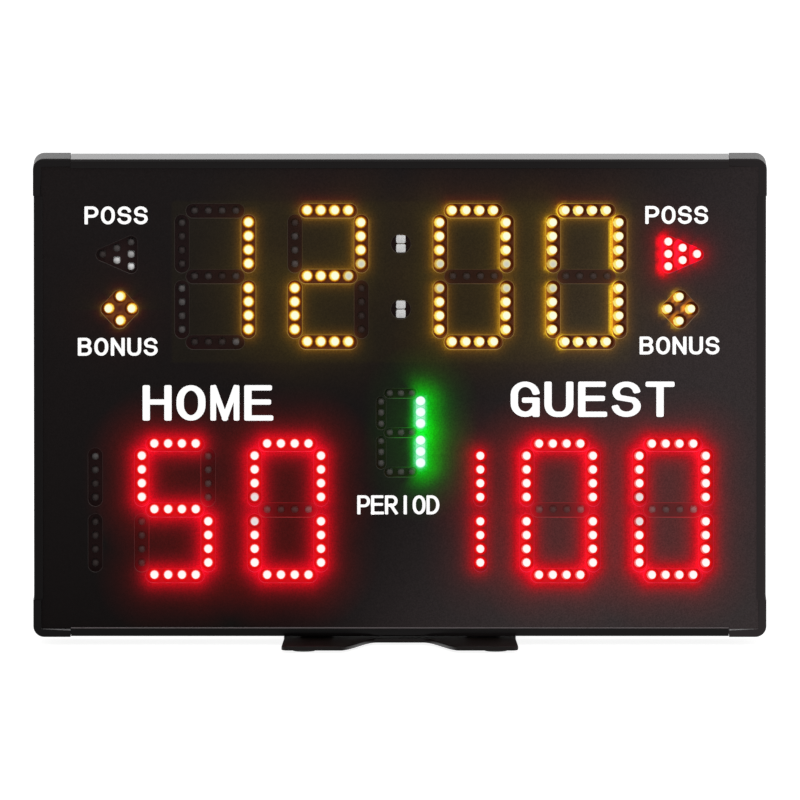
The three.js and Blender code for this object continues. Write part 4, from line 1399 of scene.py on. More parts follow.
def scoreboard_displays() -> list[Display]:
    """Lists every display with what it shows: 12:00, 50 to 100 in period 1, and both bonuses."""
    main, period = MAIN_STYLE, PERIOD_STYLE
    # How far each unlit lens is painted paler, segment by segment: painted highlights and painted light from
    # lit neighbours
    first_dark = {
        "a": (0.03,), "f": (0.02, 0.015, 0.02, 0.035), "g": (0.03, 0.03, 0.008, 0.035),
        "e": (0.08, 0.05, 0.09, 0.11), "d": (0.015, 0.015, 0.015, 0.12),
    }
    second_dark = {"f": (0.06, 0.045, 0.05, 0.015), "c": (0.008,)}
    middle_dark = {"g": (0.02,)}
    five_dark = {"b": (0.035,), "e": (0.02,)}
    ends_dark = {"g": (0.06, 0.02, 0.025, 0.10)}
    one_dark = ((0.02, 0.015, 0.035, 0.09), (0.015,))
    timer_cells = [
        digit_cells(main, "1", first_dark), digit_cells(main, "2", second_dark, "gb"),
        digit_cells(main, "0", middle_dark, "bcef"), digit_cells(main, "0", middle_dark, "ef"),
    ]
    for cells in timer_cells:
        max(cells, key=lambda cell: cell.corners[0][1]).red_above = 0.75
    amber, red, green = LampColour.AMBER, LampColour.RED, LampColour.GREEN
    units_dark = {"g": (0.10, 0.05, 0.055, 0.16)}
    period_dark = {letter: (0.06,) for letter in "aefgd"}
    displays = [
        *(Display(f"timer_digit_{place}", amber, cells) for place, cells in enumerate(timer_cells, 1)),
        Display("timer_colon", amber, colon_cells(23.3 * MM, 7.0 * MM, 6.6 * MM), SquareLamp.REACH),
        Display("home_hundreds", red, leading_one(main, False, one_dark)),
        Display("home_tens", red, digit_cells(main, "5", five_dark)),
        Display("home_units", red, digit_cells(main, "0", ends_dark, "ef")),
        Display("guest_hundreds", red, leading_one(main, True, one_dark), sheet_gain=0.52, core_share=0.9),
        Display("guest_tens", red, digit_cells(main, "0", ends_dark)),
        Display("guest_units", red, digit_cells(main, "0", units_dark, "ef")),
        Display("period_digit", green, digit_cells(period, "1", period_dark), period.collar_radius),
    ]
    arrow_pitch, arrow_radius, arrow_collar = (10.2 * MM, 8.8 * MM), 4.6 * MM, 4.3 * MM
    # Three lenses of the unlit left arrow are painted far paler: painted reflections
    left_shares = (0.95, 0.5, 0.06, 0.75, 0.06, 0.025)
    left_arrow = arrow_cells(-1, False, arrow_pitch, arrow_radius, left_shares)
    right_arrow = arrow_cells(1, True, arrow_pitch, arrow_radius, PLAIN_DARK)
    displays.append(Display("possession_left", red, left_arrow, arrow_collar))
    displays.append(Display("possession_right", red, right_arrow, arrow_collar, sheet_gain=0.4,
                            board_gain=3.4, near_left=2.5, core_share=0.88))
    for side, red_tail in (("left", 0.8), ("right", 0.2)):
        cells = diamond_cells(8.2 * MM, 8.6 * MM, 5.2 * MM)
        cells[0].red_above = cells[0].red_below = red_tail
        displays.append(Display(f"bonus_{side}", amber, cells, sheet_gain=0.45, board_gain=3.0,
                                core_share=0.94))
    return displays


class LampBoards:
    """All the lamp boards behind the front."""

    THICKNESS = 1.6 * MM

    def __init__(self, displays: list[Display]) -> None:
        """Keeps the displays."""
        self.displays = displays

    def build(self) -> None:
        """Makes each display and ties it to the case."""
        patterns = {display.collar_radius: Lamp(display.collar_radius) for display in self.displays}
        patterns[SquareLamp.REACH] = SquareLamp(SquareLamp.REACH)
        for display in self.displays:
            piece = display.build(patterns)
            finish_piece(piece, "case", [display.node])
        for pattern in patterns.values():
            pattern.discard()


@dataclass
class FrontSheet:
    """The black front with an opening for every cell, and the words printed beside the displays."""

    displays: list[Display]
    cell_size: float = 2.2 * MM
    chamfer: float = 0.28 * MM
    lead: float = 0.1 * MM
    cutter_sides: int = 28
    film_low: Point = (-161.8 * MM, 201.0 * MM)
    film_high: Point = (164.7 * MM, 316.6 * MM)
    film_light: Colour = (0.003, 0.0025, 0.0)

    def opening_cutter(self, cell: Cell, x: float, z: float, front: float, back: float) -> bpy.types.Object:
        """Makes the cutter of one opening: a flared round plug whose sides are drawn out to its corners.

        Args:
            cell: the opening.
            x: the display's middle across.
            z: the display's middle up.
            front: the sheet's front face.
            back: the sheet's back face.

        Returns:
            The cutter.
        """
        deselect()
        flare = self.chamfer + self.lead
        bpy.ops.mesh.primitive_cone_add(
            vertices=self.cutter_sides, radius1=cell.radius + flare, radius2=cell.radius, depth=flare,
            location=(0, front - self.lead + flare / 2, 0),
            rotation=(-math.pi / 2, math.pi / self.cutter_sides, 0))
        cutter = active()
        settle(cutter)
        pick_faces(cutter, facing(Vector((0, 1, 0))))
        extrude((0, back - front + self.lead, 0))
        object_mode()
        for vertex in cutter.data.vertices:
            corner = max(cell.corners, key=lambda c: c[0] * vertex.co.x + c[1] * vertex.co.z)
            vertex.co.x += x + corner[0]
            vertex.co.z += z + corner[1]
        return cutter

    def build_sheet(self) -> None:
        """Cuts the sheet and stores the light that falls on it."""
        low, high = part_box("front_panel")
        sheet = thick_grid("front_sheet", low, high, low.y, high.y - low.y, self.cell_size)
        pick_faces(sheet, facing(Vector((0, 1, 0))))
        bpy.ops.mesh.dissolve_faces()
        object_mode()
        paint(sheet, Shade.FRONT)
        cutters = []
        for display in self.displays:
            x, z = display.middle()
            for cell in display.cells:
                cutter = self.opening_cutter(cell, x, z, low.y, high.y)
                paint(cutter, display.colour.value[2] if cell.lit else Shade.CUT_EDGE)
                cutters.append(cutter)
        cut(sheet, joined(cutters, "opening_cutters"))
        smooth(sheet, SHEET_ANGLE)
        self.light(sheet)
        finish_piece(sheet, "case", ["front_panel"])

    def light(self, sheet: bpy.types.Object) -> None:
        """Stores the light of every lit cell on the sheet, and the faint tone of the timer's film."""
        places = np.array([(v.co.x, v.co.z) for v in sheet.data.vertices])
        glow = sum(display.spill_at(places) for display in self.displays)
        total = glow + FrontHaze().beside(places, glow)
        inside = np.all((places > self.film_low) & (places < self.film_high), axis=1)
        total[inside] += self.film_light
        write_light(sheet, total)

    def build(self) -> None:
        """Makes the sheet and its words."""
        self.build_sheet()
        for word in PRINTED_WORDS:
            word.build()


def bend(middle: Point, reach: Point, start: float, end: float) -> list[Point]:
    """Gives the points of an oval bend.

    Args:
        middle: the oval's middle.
        reach: its half width and half height.
        start: the angle in degrees at which the bend starts.
        end: the angle in degrees at which it ends.

    Returns:
        The bend's points.
    """
    degrees_a_step = 12
    steps = max(2, round(abs(end - start) / degrees_a_step))
    angles = [math.radians(start + (end - start) * step / steps) for step in range(steps + 1)]
    return [(middle[0] + reach[0] * math.cos(a), middle[1] + reach[1] * math.sin(a)) for a in angles]


def bowl(left: float, middle: Point, reach: Point) -> list[Point]:
    """Gives a bowl that leaves an upright to the right and comes back to it lower down."""
    top, bottom = middle[1] + reach[1], middle[1] - reach[1]
    return [(left, top), *bend(middle, reach, 90, -90), (left, bottom)]


# The pen's path in each plain capital, as shares of the letter's width and height
LETTER_STROKES = {
    "B": [[(0, 0), (0, 1)], bowl(0, (0.56, 0.77), (0.38, 0.23)), bowl(0, (0.56, 0.27), (0.44, 0.27))],
    "D": [[(0, 0), (0, 1)], bowl(0, (0.36, 0.5), (0.64, 0.5))],
    "E": [[(0, 0), (0, 1)], [(0, 1), (0.94, 1)], [(0, 0.53), (0.9, 0.53)], [(0, 0), (1, 0)]],
    "G": [[*bend((0.5, 0.66), (0.5, 0.34), 14, 180), *bend((0.5, 0.36), (0.5, 0.36), 180, 330)],
          [(0.52, 0.47), (1, 0.47)], [(1, 0.47), (1, 0)]],
    "H": [[(0, 0), (0, 1)], [(1, 0), (1, 1)], [(0, 0.53), (1, 0.53)]],
    "I": [[(0.5, 0), (0.5, 1)]],
    "M": [[(0, 0), (0, 1)], [(1, 0), (1, 1)], [(0.03, 1), (0.5, 0)], [(0.97, 1), (0.5, 0)]],
    "N": [[(0, 0), (0, 1)], [(1, 0), (1, 1)], [(0.03, 1), (0.97, 0)]],
    "O": [[(1, 0.5), *bend((0.5, 0.57), (0.5, 0.43), 0, 180), (0, 0.5)],
          [(0, 0.5), *bend((0.5, 0.43), (0.5, 0.43), 180, 360), (1, 0.5)]],
    "P": [[(0, 0), (0, 1)], bowl(0, (0.56, 0.72), (0.44, 0.28))],
    "R": [[(0, 0), (0, 1)], bowl(0, (0.56, 0.74), (0.42, 0.26)), [(0.45, 0.48), (1, 0)]],
    "S": [[*bend((0.5, 0.74), (0.47, 0.26), 12, 225), *bend((0.5, 0.27), (0.5, 0.27), 50, -168)]],
    "T": [[(0, 1), (1, 1)], [(0.5, 0), (0.5, 1)]],
    "U": [[(0, 1), *bend((0.4, 0.32), (0.4, 0.32), 180, 270), *bend((0.6, 0.32), (0.4, 0.32), 270, 360),
           (1, 1)]],
}
# Letters with close strokes are drawn with a thinner pen
PEN_SHARES = {"M": 0.78}


def stroke_outline(path: Sequence[Point], rounding: float) -> list[Point]:
    """Gives the outline of a stroke drawn along a path by a pen of radius one.

    Args:
        path: the pen's path.
        rounding: the radius at the corners of the stroke's ends, as a share of the pen's radius.

    Returns:
        The outline's points in order.
    """
    least_turn = 0.7
    points = [Vector(point) for point in path]
    runs = [(b - a).normalized() for a, b in zip(points, points[1:])]
    headings = [runs[0]] + [(a + b).normalized() for a, b in zip(runs, runs[1:])] + [runs[-1]]
    sides = [Vector((-heading.y, heading.x)) for heading in headings]
    turns = [side.dot(Vector((-run.y, run.x))) for side, run in zip(sides[1:], runs)]
    stretch = [1.0] + [1 / max(turn, least_turn) for turn in turns]
    offsets = [side * share for side, share in zip(sides, stretch)]

    def cap(end: Vector, side: Vector, ahead: Vector) -> list[Vector]:
        """Gives a stroke's end from one side round to the other."""
        inset, steps = 1 - rounding, 4
        angles = [math.pi / 2 * step / steps for step in range(steps + 1)]
        quarter = [(math.cos(angle), math.sin(angle)) for angle in angles]
        near = [end + ahead * (inset + rounding * b) + side * (inset + rounding * a) for a, b in quarter]
        far = [end + ahead * (inset + rounding * b) - side * (inset + rounding * a)
               for a, b in reversed(quarter)]
        return near + far

    left = [point + offset for point, offset in zip(points, offsets)]
    right = [point - offset for point, offset in zip(points, offsets)]
    outline = left + cap(points[-1], sides[-1], runs[-1]) + right[::-1] + cap(points[0], -sides[0], -runs[0])
    return [(point.x, point.y) for point in outline]


@dataclass(frozen=True)
class PrintedWord:
    """A plain function word in white ink, drawn with a pen that is wider than it is tall."""

    name: str
    text: str
    middle: Point
    size: Point
    letter_width: float
    pen: Point
    rounding: float = 0.55

    INK_THICKNESS = 0.12 * MM

    def letter(self, letter: str) -> bpy.types.Object:
        """Makes one capital, lying flat with its lower left corner at the origin."""
        half_pen = (self.pen[0] / 2 * PEN_SHARES.get(letter, 1.0), self.pen[1] / 2)
        reach = (self.letter_width / half_pen[0] - 2, self.size[1] / half_pen[1] - 2)
        strokes = []
        for path in LETTER_STROKES[letter]:
            outline = stroke_outline([(x * reach[0], y * reach[1]) for x, y in path], self.rounding)
            placed = [((x + 1) * half_pen[0], (y + 1) * half_pen[1]) for x, y in outline]
            strokes.append(outline_plate("stroke", placed, 0, self.INK_THICKNESS))
        for other in strokes[1:]:
            combine(strokes[0], other, "UNION")
        return strokes[0]

    def build(self) -> None:
        """Prints the word's letters at an even pitch on the sheet."""
        pitch = (self.size[0] - self.letter_width) / (len(self.text) - 1)
        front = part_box("front_panel")[0].y
        upright = Matrix.Rotation(math.pi / 2, 4, "X")
        patterns = {letter: self.letter(letter) for letter in sorted(set(self.text))}
        letters = []
        for index, letter in enumerate(self.text):
            left = self.middle[0] - self.size[0] / 2 + index * pitch
            place = Matrix.Translation((left, front, self.middle[1] - self.size[1] / 2)) @ upright
            letters.append(placed_copy(patterns[letter], letter, place))
        for pattern in patterns.values():
            bpy.data.objects.remove(pattern)
        word = joined(letters, self.name)
        paint(word, Shade.INK)
        # The ink's painted glow, the same over every letter
        write_light(word, np.ones((len(word.data.vertices), 3)))
        finish_piece(word, "case")


CASE_BOTTOM = 6 * MM
# The width of a letter, and the pen's width and height
SMALL = (9.9 * MM, (2.4 * MM, 2.1 * MM))
LARGE = (20.6 * MM, (5.2 * MM, 3.8 * MM))
NARROW = (9.2 * MM, (2.3 * MM, 2.0 * MM))
# In millimetres: each word's middle across and up the case, its width and height, and its lettering
PRINTED_WORDS = [
    PrintedWord(f"word_{name}", name.split("_")[0].upper(), (across * MM, CASE_BOTTOM + up * MM),
                (width * MM, height * MM), *lettering)
    for name, across, up, width, height, lettering in (
        ("poss_left", -201.4, 300.0, 44.9, 12.8, SMALL),
        ("poss_right", 196.5, 300.3, 44.6, 12.8, SMALL),
        ("bonus_left", -200.3, 206.4, 56.7, 12.8, SMALL),
        ("bonus_right", 198.6, 207.3, 56.7, 12.8, SMALL),
        ("home", -136.3, 166.4, 92.8, 25.3, LARGE),
        ("guest", 136.9, 169.0, 116.4, 25.2, LARGE),
        ("period", -1.1, 93.7, 58.4, 13.6, NARROW),
    )
]


@dataclass
class Frame:
    """Four extruded rails and the four moulded corner pieces that join them."""

    wall: float = 2.0 * MM
    outer_radius: float = 2.5 * MM
    lip: float = 6.6 * MM
    lip_thickness: float = 1.8 * MM
    lip_chamfer: float = 0.9 * MM
    corner_leg: float = 26.0 * MM
    corner_radius: float = 7.8 * MM
    corner_proud: float = 0.5 * MM
    corner_lip: float = 5.4 * MM
    corner_edge: float = 1.7 * MM
    corner_inner_edge: float = 1.1 * MM
    rail_parts: int = 24
    haze_share: float = 0.6
    bottom_haze_share: float = 0.12
    HIGHLIGHT_SLOTS = {"bottom_left": 1, "bottom_right": 2}
    OUTSIDE_SHARE = 1.5

    def rail(self, name: str, length: float, depth: float) -> bpy.types.Object:
        """Makes a rail along X whose outer face lies at zero height and whose channel opens upward.

        Args:
            name: the rail's name.
            length: its length.
            depth: the case's depth.

        Returns:
            The rail.
        """
        half, front = length / 2, depth / 2
        rail = cuboid(name, (-half, -front, 0), (half, front, self.lip))
        paint(rail, Shade.RAIL_ACROSS, Shade.RAIL_EDGE)
        pick_faces(rail, facing(Vector((0, 0, 1))))
        bpy.ops.mesh.inset(thickness=self.lip_thickness)
        extrude((0, 0, self.wall - self.lip))
        object_mode()

        def outer_long(a: Vector, b: Vector) -> bool:
            """Picks the two long edges of the outer face."""
            return max(abs(a.z), abs(b.z)) < TINY and abs(a.y - b.y) < TINY

        def lip_edge(face: float) -> Callable[[Vector, Vector], bool]:
            """Gives a test for the lip's long edge on the front or the rear face."""
            return lambda a, b: all(abs(end.y - face) < TINY and end.z > self.lip - TINY for end in (a, b))

        bevel_edges(rail, outer_long, self.outer_radius, 6)
        # The front lip's chamfer goes to slot 1, which holds the painted highlight line on the bottom rail
        bevel_edges(rail, lip_edge(-front), self.lip_chamfer, 3, material=1)
        bevel_edges(rail, lip_edge(front), self.lip_chamfer / 2, 2)
        for part in range(1, self.rail_parts):
            self.divide(rail, -half + length * part / self.rail_parts)
        smooth(rail, ROUND_ANGLE)
        even_normals(rail)
        return rail

    def divide(self, rail: bpy.types.Object, x: float) -> None:
        """Divides a rail's faces across its length, so that they can hold the light on the front."""
        edit_all(rail)
        bpy.ops.mesh.bisect(plane_co=(x, 0, 0), plane_no=(1, 0, 0))
        object_mode()

    def build_rails(self) -> None:
        """Makes the four rails from one pattern for each length."""
        low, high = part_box("frame_rail_bottom")
        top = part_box("frame_rail_top")[1].z
        side_low, side_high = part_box("frame_rail_left")
        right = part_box("frame_rail_right")[1].x
        depth, middle = high.y - low.y, (side_low.z + side_high.z) / 2
        across = self.rail("frame_rail_across", high.x - low.x, depth)
        upright = self.rail("frame_rail_upright", side_high.z - side_low.z, depth)
        # Each rail's pattern, its place across and up, its turn and its finish
        places = [
            ("bottom", across, 0, low.z, 0.0, Shade.RAIL_ACROSS),
            ("top", across, 0, top, math.pi, Shade.RAIL_ACROSS),
            ("left", upright, side_low.x, middle, math.pi / 2, Shade.RAIL_UPRIGHT),
            ("right", upright, right, middle, -math.pi / 2, Shade.RAIL_UPRIGHT),
        ]
        for word, pattern, x, z, turn, shade in places:
            matrix = Matrix.Translation((x, 0, z)) @ Matrix.Rotation(turn, 4, "Y")
            rail = placed_copy(pattern, f"rail_{word}", matrix)
            at_bottom = word == "bottom"
            # Only the bottom rail's lip chamfer carries the painted highlight line; the other rails keep
            # their plain finish there
            repaint(rail, shade, Shade.RAIL_EDGE if at_bottom else shade)
            add_haze(rail, self.bottom_haze_share if at_bottom else self.haze_share)
            finish_piece(rail, "case", [f"frame_rail_{word}"])
        for pattern in (across, upright):
            bpy.data.objects.remove(pattern)

    def corner(self) -> bpy.types.Object:
        """Makes a corner piece for the lower left, with the case's corner at the origin of X and Z."""
        low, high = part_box("corner_bottom_left")
        proud, lip, leg = self.corner_proud, self.corner_lip, self.corner_leg
        piece = cuboid("corner_pattern", (-proud, low.y, -proud), (lip, high.y, lip))
        paint(piece, Shade.CORNER, Shade.CORNER, Shade.CORNER)
        front = low.y
        for axis in (Vector((1, 0, 0)), Vector((0, 0, 1))):
            pick_faces(piece, lambda face, axis=axis:
                       facing(axis)(face) and max(face.center.x, face.center.z) < lip + TINY)
            extrude(axis * (leg - lip))
            object_mode()

        def on_front(a: Vector, b: Vector) -> bool:
            """Says whether an edge lies on the front face."""
            return abs(a.y - front) < TINY and abs(b.y - front) < TINY

        def inner_level(a: Vector, b: Vector) -> bool:
            """Picks the front edge of the leg along X, beside the sheet."""
            return (on_front(a, b) and abs(a.z - lip) < TINY and abs(b.z - lip) < TINY
                    and min(a.x, b.x) > lip - TINY)

        def inner_upright(a: Vector, b: Vector) -> bool:
            """Picks the front edge of the leg along Z, beside the sheet."""
            return (on_front(a, b) and abs(a.x - lip) < TINY and abs(b.x - lip) < TINY
                    and max(a.z, b.z) > leg - TINY)

        def outer_corner(a: Vector, b: Vector) -> bool:
            """Picks the case's own corner edge, which runs from front to back."""
            return all(abs(end.x + proud) < TINY and abs(end.z + proud) < TINY for end in (a, b))

        def face_outline(a: Vector, b: Vector) -> bool:
            """Picks the outer edges of the front and the rear face."""
            inner = lip - self.corner_inner_edge * self.OUTSIDE_SHARE
            outside = all(min(end.x, end.z) < inner for end in (a, b))
            on_face = all(min(abs(end.y - low.y), abs(end.y - high.y)) < TINY for end in (a, b))
            return abs(a.y - b.y) < TINY and outside and on_face

        edit_all(piece)
        bpy.ops.mesh.dissolve_limited(angle_limit=math.radians(1))
        object_mode()
        bevel_edges(piece, outer_corner, self.corner_radius, 10)
        # Slots 1 and 2 hold the inner edges, which take the painted highlight on the two lower corners
        bevel_edges(piece, inner_level, self.corner_inner_edge, 2, material=1)
        bevel_edges(piece, inner_upright, self.corner_inner_edge, 2, material=2)
        bevel_edges(piece, face_outline, self.corner_edge, 4)
        smooth(piece, ROUND_ANGLE)
        even_normals(piece)
        return piece

    def build_corners(self) -> None:
        """Makes the four corner pieces from one pattern."""
        left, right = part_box("frame_rail_left")[0].x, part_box("frame_rail_right")[1].x
        bottom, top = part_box("frame_rail_bottom")[0].z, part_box("frame_rail_top")[1].z
        places = [
            ("bottom_left", left, bottom, 0.0),
            ("bottom_right", right, bottom, -math.pi / 2),
            ("top_right", right, top, math.pi),
            ("top_left", left, top, math.pi / 2),
        ]
        pattern = self.corner()
        for word, x, z, turn in places:
            matrix = Matrix.Translation((x, 0, z)) @ Matrix.Rotation(turn, 4, "Y")
            piece = placed_copy(pattern, f"corner_piece_{word}", matrix)
            # The lower corners' inner edge gets the painted highlight
            shades = [Shade.CORNER] * 3
            if word in self.HIGHLIGHT_SLOTS:
                shades[self.HIGHLIGHT_SLOTS[word]] = Shade.CORNER_EDGE
            repaint(piece, *shades)
            add_haze(piece, self.haze_share)
            finish_piece(piece, "case", [f"corner_{word}"])
        bpy.data.objects.remove(pattern)

    def build(self) -> None:
        """Makes the rails and the corners."""
        self.build_rails()
        self.build_corners()


@dataclass
class Screw:
    """A round-headed screw with a cross recess, modelled afresh for each place with the grip it needs."""

    head_radius: float = 3.2 * MM
    head_height: float = 2.0 * MM
    shank_radius: float = 1.6 * MM
    recess_length: float = 3.6 * MM
    recess_width: float = 0.9 * MM
    recess_depth: float = 1.1 * MM
    round_share: float = 0.6
    rim_share: float = 0.9
    sides: int = 24

    def pattern(self, grip: float) -> bpy.types.Object:
        """Makes the screw with its head's underside at zero and its shank running down -Z.

        Args:
            grip: the length of the shank.

        Returns:
            The screw.
        """
        up = Vector((0, 0, 1))
        top = self.head_height
        head = round_bar("screw_head", Vector(), up * top, self.head_radius, self.sides)
        bevel_edges(head, lambda a, b: min(a.z, b.z) > top * self.rim_share, top * self.round_share, 4)
        half, depth = self.recess_length / 2, self.recess_depth
        for size in ((half, self.recess_width / 2), (self.recess_width / 2, half)):
            slot = cuboid("recess", (-size[0], -size[1], top - depth), (size[0], size[1], top + depth))
            cut(head, slot)
        pick_faces(head, facing(-up))
        bpy.ops.mesh.inset(thickness=self.head_radius - self.shank_radius)
        extrude(-up * grip)
        object_mode()
        smooth(head, FINE_ANGLE)
        return head

    def build(self) -> None:
        """Puts a screw in place of each CAD screw."""
        nodes = sorted(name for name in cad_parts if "_screw_" in name)
        for node in nodes:
            low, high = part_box(node)
            size = high - low
            along_y = size.y > size.z
            grip = (size.y if along_y else size.z) - self.head_height
            pattern = self.pattern(grip)
            middle = (low + high) / 2
            if along_y:
                seat = Vector((middle.x, high.y - self.head_height, middle.z))
                turn = Matrix.Rotation(-math.pi / 2, 4, "X")
            else:
                seat = Vector((middle.x, middle.y, high.z - self.head_height))
                turn = Matrix.Identity(4)
            screw = placed_copy(pattern, f"{node}_finished", Matrix.Translation(seat) @ turn)
            bpy.data.objects.remove(pattern)
            paint(screw, Shade.ZINC)
            finish_piece(screw, "case" if node.startswith("lug") else "stand", [node])


@dataclass
class Stand:
    """The flat two-lobed stand with its pads and lugs."""

    half_width: float = 84.0 * MM
    waist_inset: float = 1.5 * MM
    reach: float = 60.0 * MM
    case_half_depth: float = 28.5 * MM
    lobe_width: float = 42.0 * MM
    lobe_radius: float = 5.0 * MM
    arch_flat: float = 16.0 * MM
    rear_land: float = 26.0 * MM
    arch_steps: int = 20
    edge: float = 0.7 * MM
    pad_edge: float = 0.35 * MM
    pad_sides: int = 32
    lug_edge: float = 0.4 * MM

    def arch(self, tip: float, depth: float) -> list[Point]:
        """Gives the arch from the left lobe's tip to the right one's.

        Args:
            tip: how far forward the lobes' tips lie.
            depth: how far the arch rises from them.

        Returns:
            The arch's points.
        """
        inner = self.half_width - self.lobe_width
        slope = inner - self.arch_flat
        shares = [step / self.arch_steps for step in range(self.arch_steps + 1)]
        rising = [(slope * s - inner, tip + depth * s * s * (3 - 2 * s)) for s in shares]
        return rising + [(-x, y) for x, y in reversed(rising)]

    def quarter(self, x: float, y: float, start: float) -> list[Point]:
        """Gives the points of a lobe's rounded corner, a quarter turn from a starting angle."""
        steps = 8
        angles = [start + math.pi / 2 * step / steps for step in range(steps + 1)]
        return [(x + self.lobe_radius * math.cos(a), y + self.lobe_radius * math.sin(a)) for a in angles]

    def outline(self) -> list[Point]:
        """Gives the plate's outline, anticlockwise from the front right lobe."""
        half, inset, waist = self.half_width, self.lobe_radius, self.half_width - self.waist_inset
        front = -self.case_half_depth - self.reach
        back = -front
        points = self.quarter(half - inset, front + inset, -math.pi / 2)
        points += [(waist, -self.case_half_depth), (waist, self.case_half_depth)]
        points += self.quarter(half - inset, back - inset, 0)
        points += list(reversed(self.arch(back, self.rear_land - self.reach)))
        points += self.quarter(inset - half, back - inset, math.pi / 2)
        points += [(-waist, self.case_half_depth), (-waist, -self.case_half_depth)]
        points += self.quarter(inset - half, front + inset, math.pi)
        points += self.arch(front, self.reach)
        return points

    def build(self) -> None:
        """Makes the plate, the pads and the lugs."""
        low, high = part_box("stand_base")
        plate = outline_plate("stand_plate", self.outline(), low.z, high.z)
        soften(plate, self.edge, 3, 50)
        finish_smooth(plate, ROUND_ANGLE, Shade.STAND, "stand", "stand_base")
        for place in ("front_left", "front_right", "rear_left", "rear_right"):
            node = f"stand_pad_{place}"
            low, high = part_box(node)
            middle = (low + high) / 2
            pad = round_bar(f"pad_{place}", Vector((middle.x, middle.y, low.z)),
                            Vector((middle.x, middle.y, high.z)), (high.x - low.x) / 2, self.pad_sides)
            soften(pad, self.pad_edge, 2)
            finish_smooth(pad, PAD_ANGLE, Shade.RUBBER, "stand", node)
        for side in ("left", "right"):
            for body in ("stand", "case"):
                finish_refined(f"{body}_lug_{side}", Shade.POWDER, body, self.lug_edge)


@dataclass
class ClampKnob:
    """A six-lobed clamp knob with a hub and a steel stud."""

    lobes: int = 6
    lobe_height: float = 1.3 * MM
    radius: float = 11.0 * MM
    hub_radius: float = 6.0 * MM
    hub_length: float = 3.0 * MM
    stud_radius: float = 3.0 * MM
    grip_edge: float = 1.4 * MM
    cap_radius: float = 5.2 * MM
    cap_depth: float = 0.8 * MM
    gap: float = 0.3 * MM
    stud_edge: float = 0.5 * MM
    sides: int = 72
    hub_sides: int = 32
    stud_sides: int = 24

    def build(self) -> None:
        """Makes both knobs."""
        for word, side in (("left", -1), ("right", 1)):
            node = f"clamp_knob_{word}"
            low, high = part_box(node)
            axis = Vector((side, 0, 0))
            middle = (low + high) / 2
            outer = high.x if side > 0 else low.x
            stud_end = low.x if side > 0 else high.x
            face = Vector((outer, middle.y, middle.z))
            hub_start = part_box(f"stand_lug_{word}")[1 if side > 0 else 0].x + side * self.gap
            grip_start = face.copy()
            grip_start.x = hub_start + side * self.hub_length
            grip = round_bar(f"knob_{word}", grip_start, face, self.radius - self.lobe_height, self.sides)
            for vertex in grip.data.vertices:
                offset = Vector((0, vertex.co.y - middle.y, vertex.co.z - middle.z))
                if offset.length > self.radius / 2:
                    angle = math.atan2(offset.z, offset.y)
                    reach = self.radius - self.lobe_height + self.lobe_height * math.cos(self.lobes * angle)
                    offset = offset.normalized() * reach
                    vertex.co.y, vertex.co.z = middle.y + offset.y, middle.z + offset.z
            pick_faces(grip, facing(axis))
            bpy.ops.mesh.inset(thickness=self.radius - self.lobe_height - self.cap_radius)
            extrude(-axis * self.cap_depth)
            object_mode()
            soften(grip, self.grip_edge / 2, 3, 50)
            hub_end = Vector((hub_start, middle.y, middle.z))
            hub = round_bar("hub", hub_end, grip_start + axis * self.gap, self.hub_radius, self.hub_sides)
            tip = Vector((stud_end, middle.y, middle.z))
            stud = round_bar("stud", tip, grip_start + axis * self.gap, self.stud_radius,
                             self.stud_sides)
            soften(stud, self.stud_edge, 1)
            paint(grip, Shade.KNOB)
            paint(hub, Shade.KNOB)
            paint(stud, Shade.ZINC)
            knob = joined([grip, hub, stud], f"knob_{word}")
            smooth(knob, FINE_ANGLE)
            finish_piece(knob, f"knob_{word}", [node])


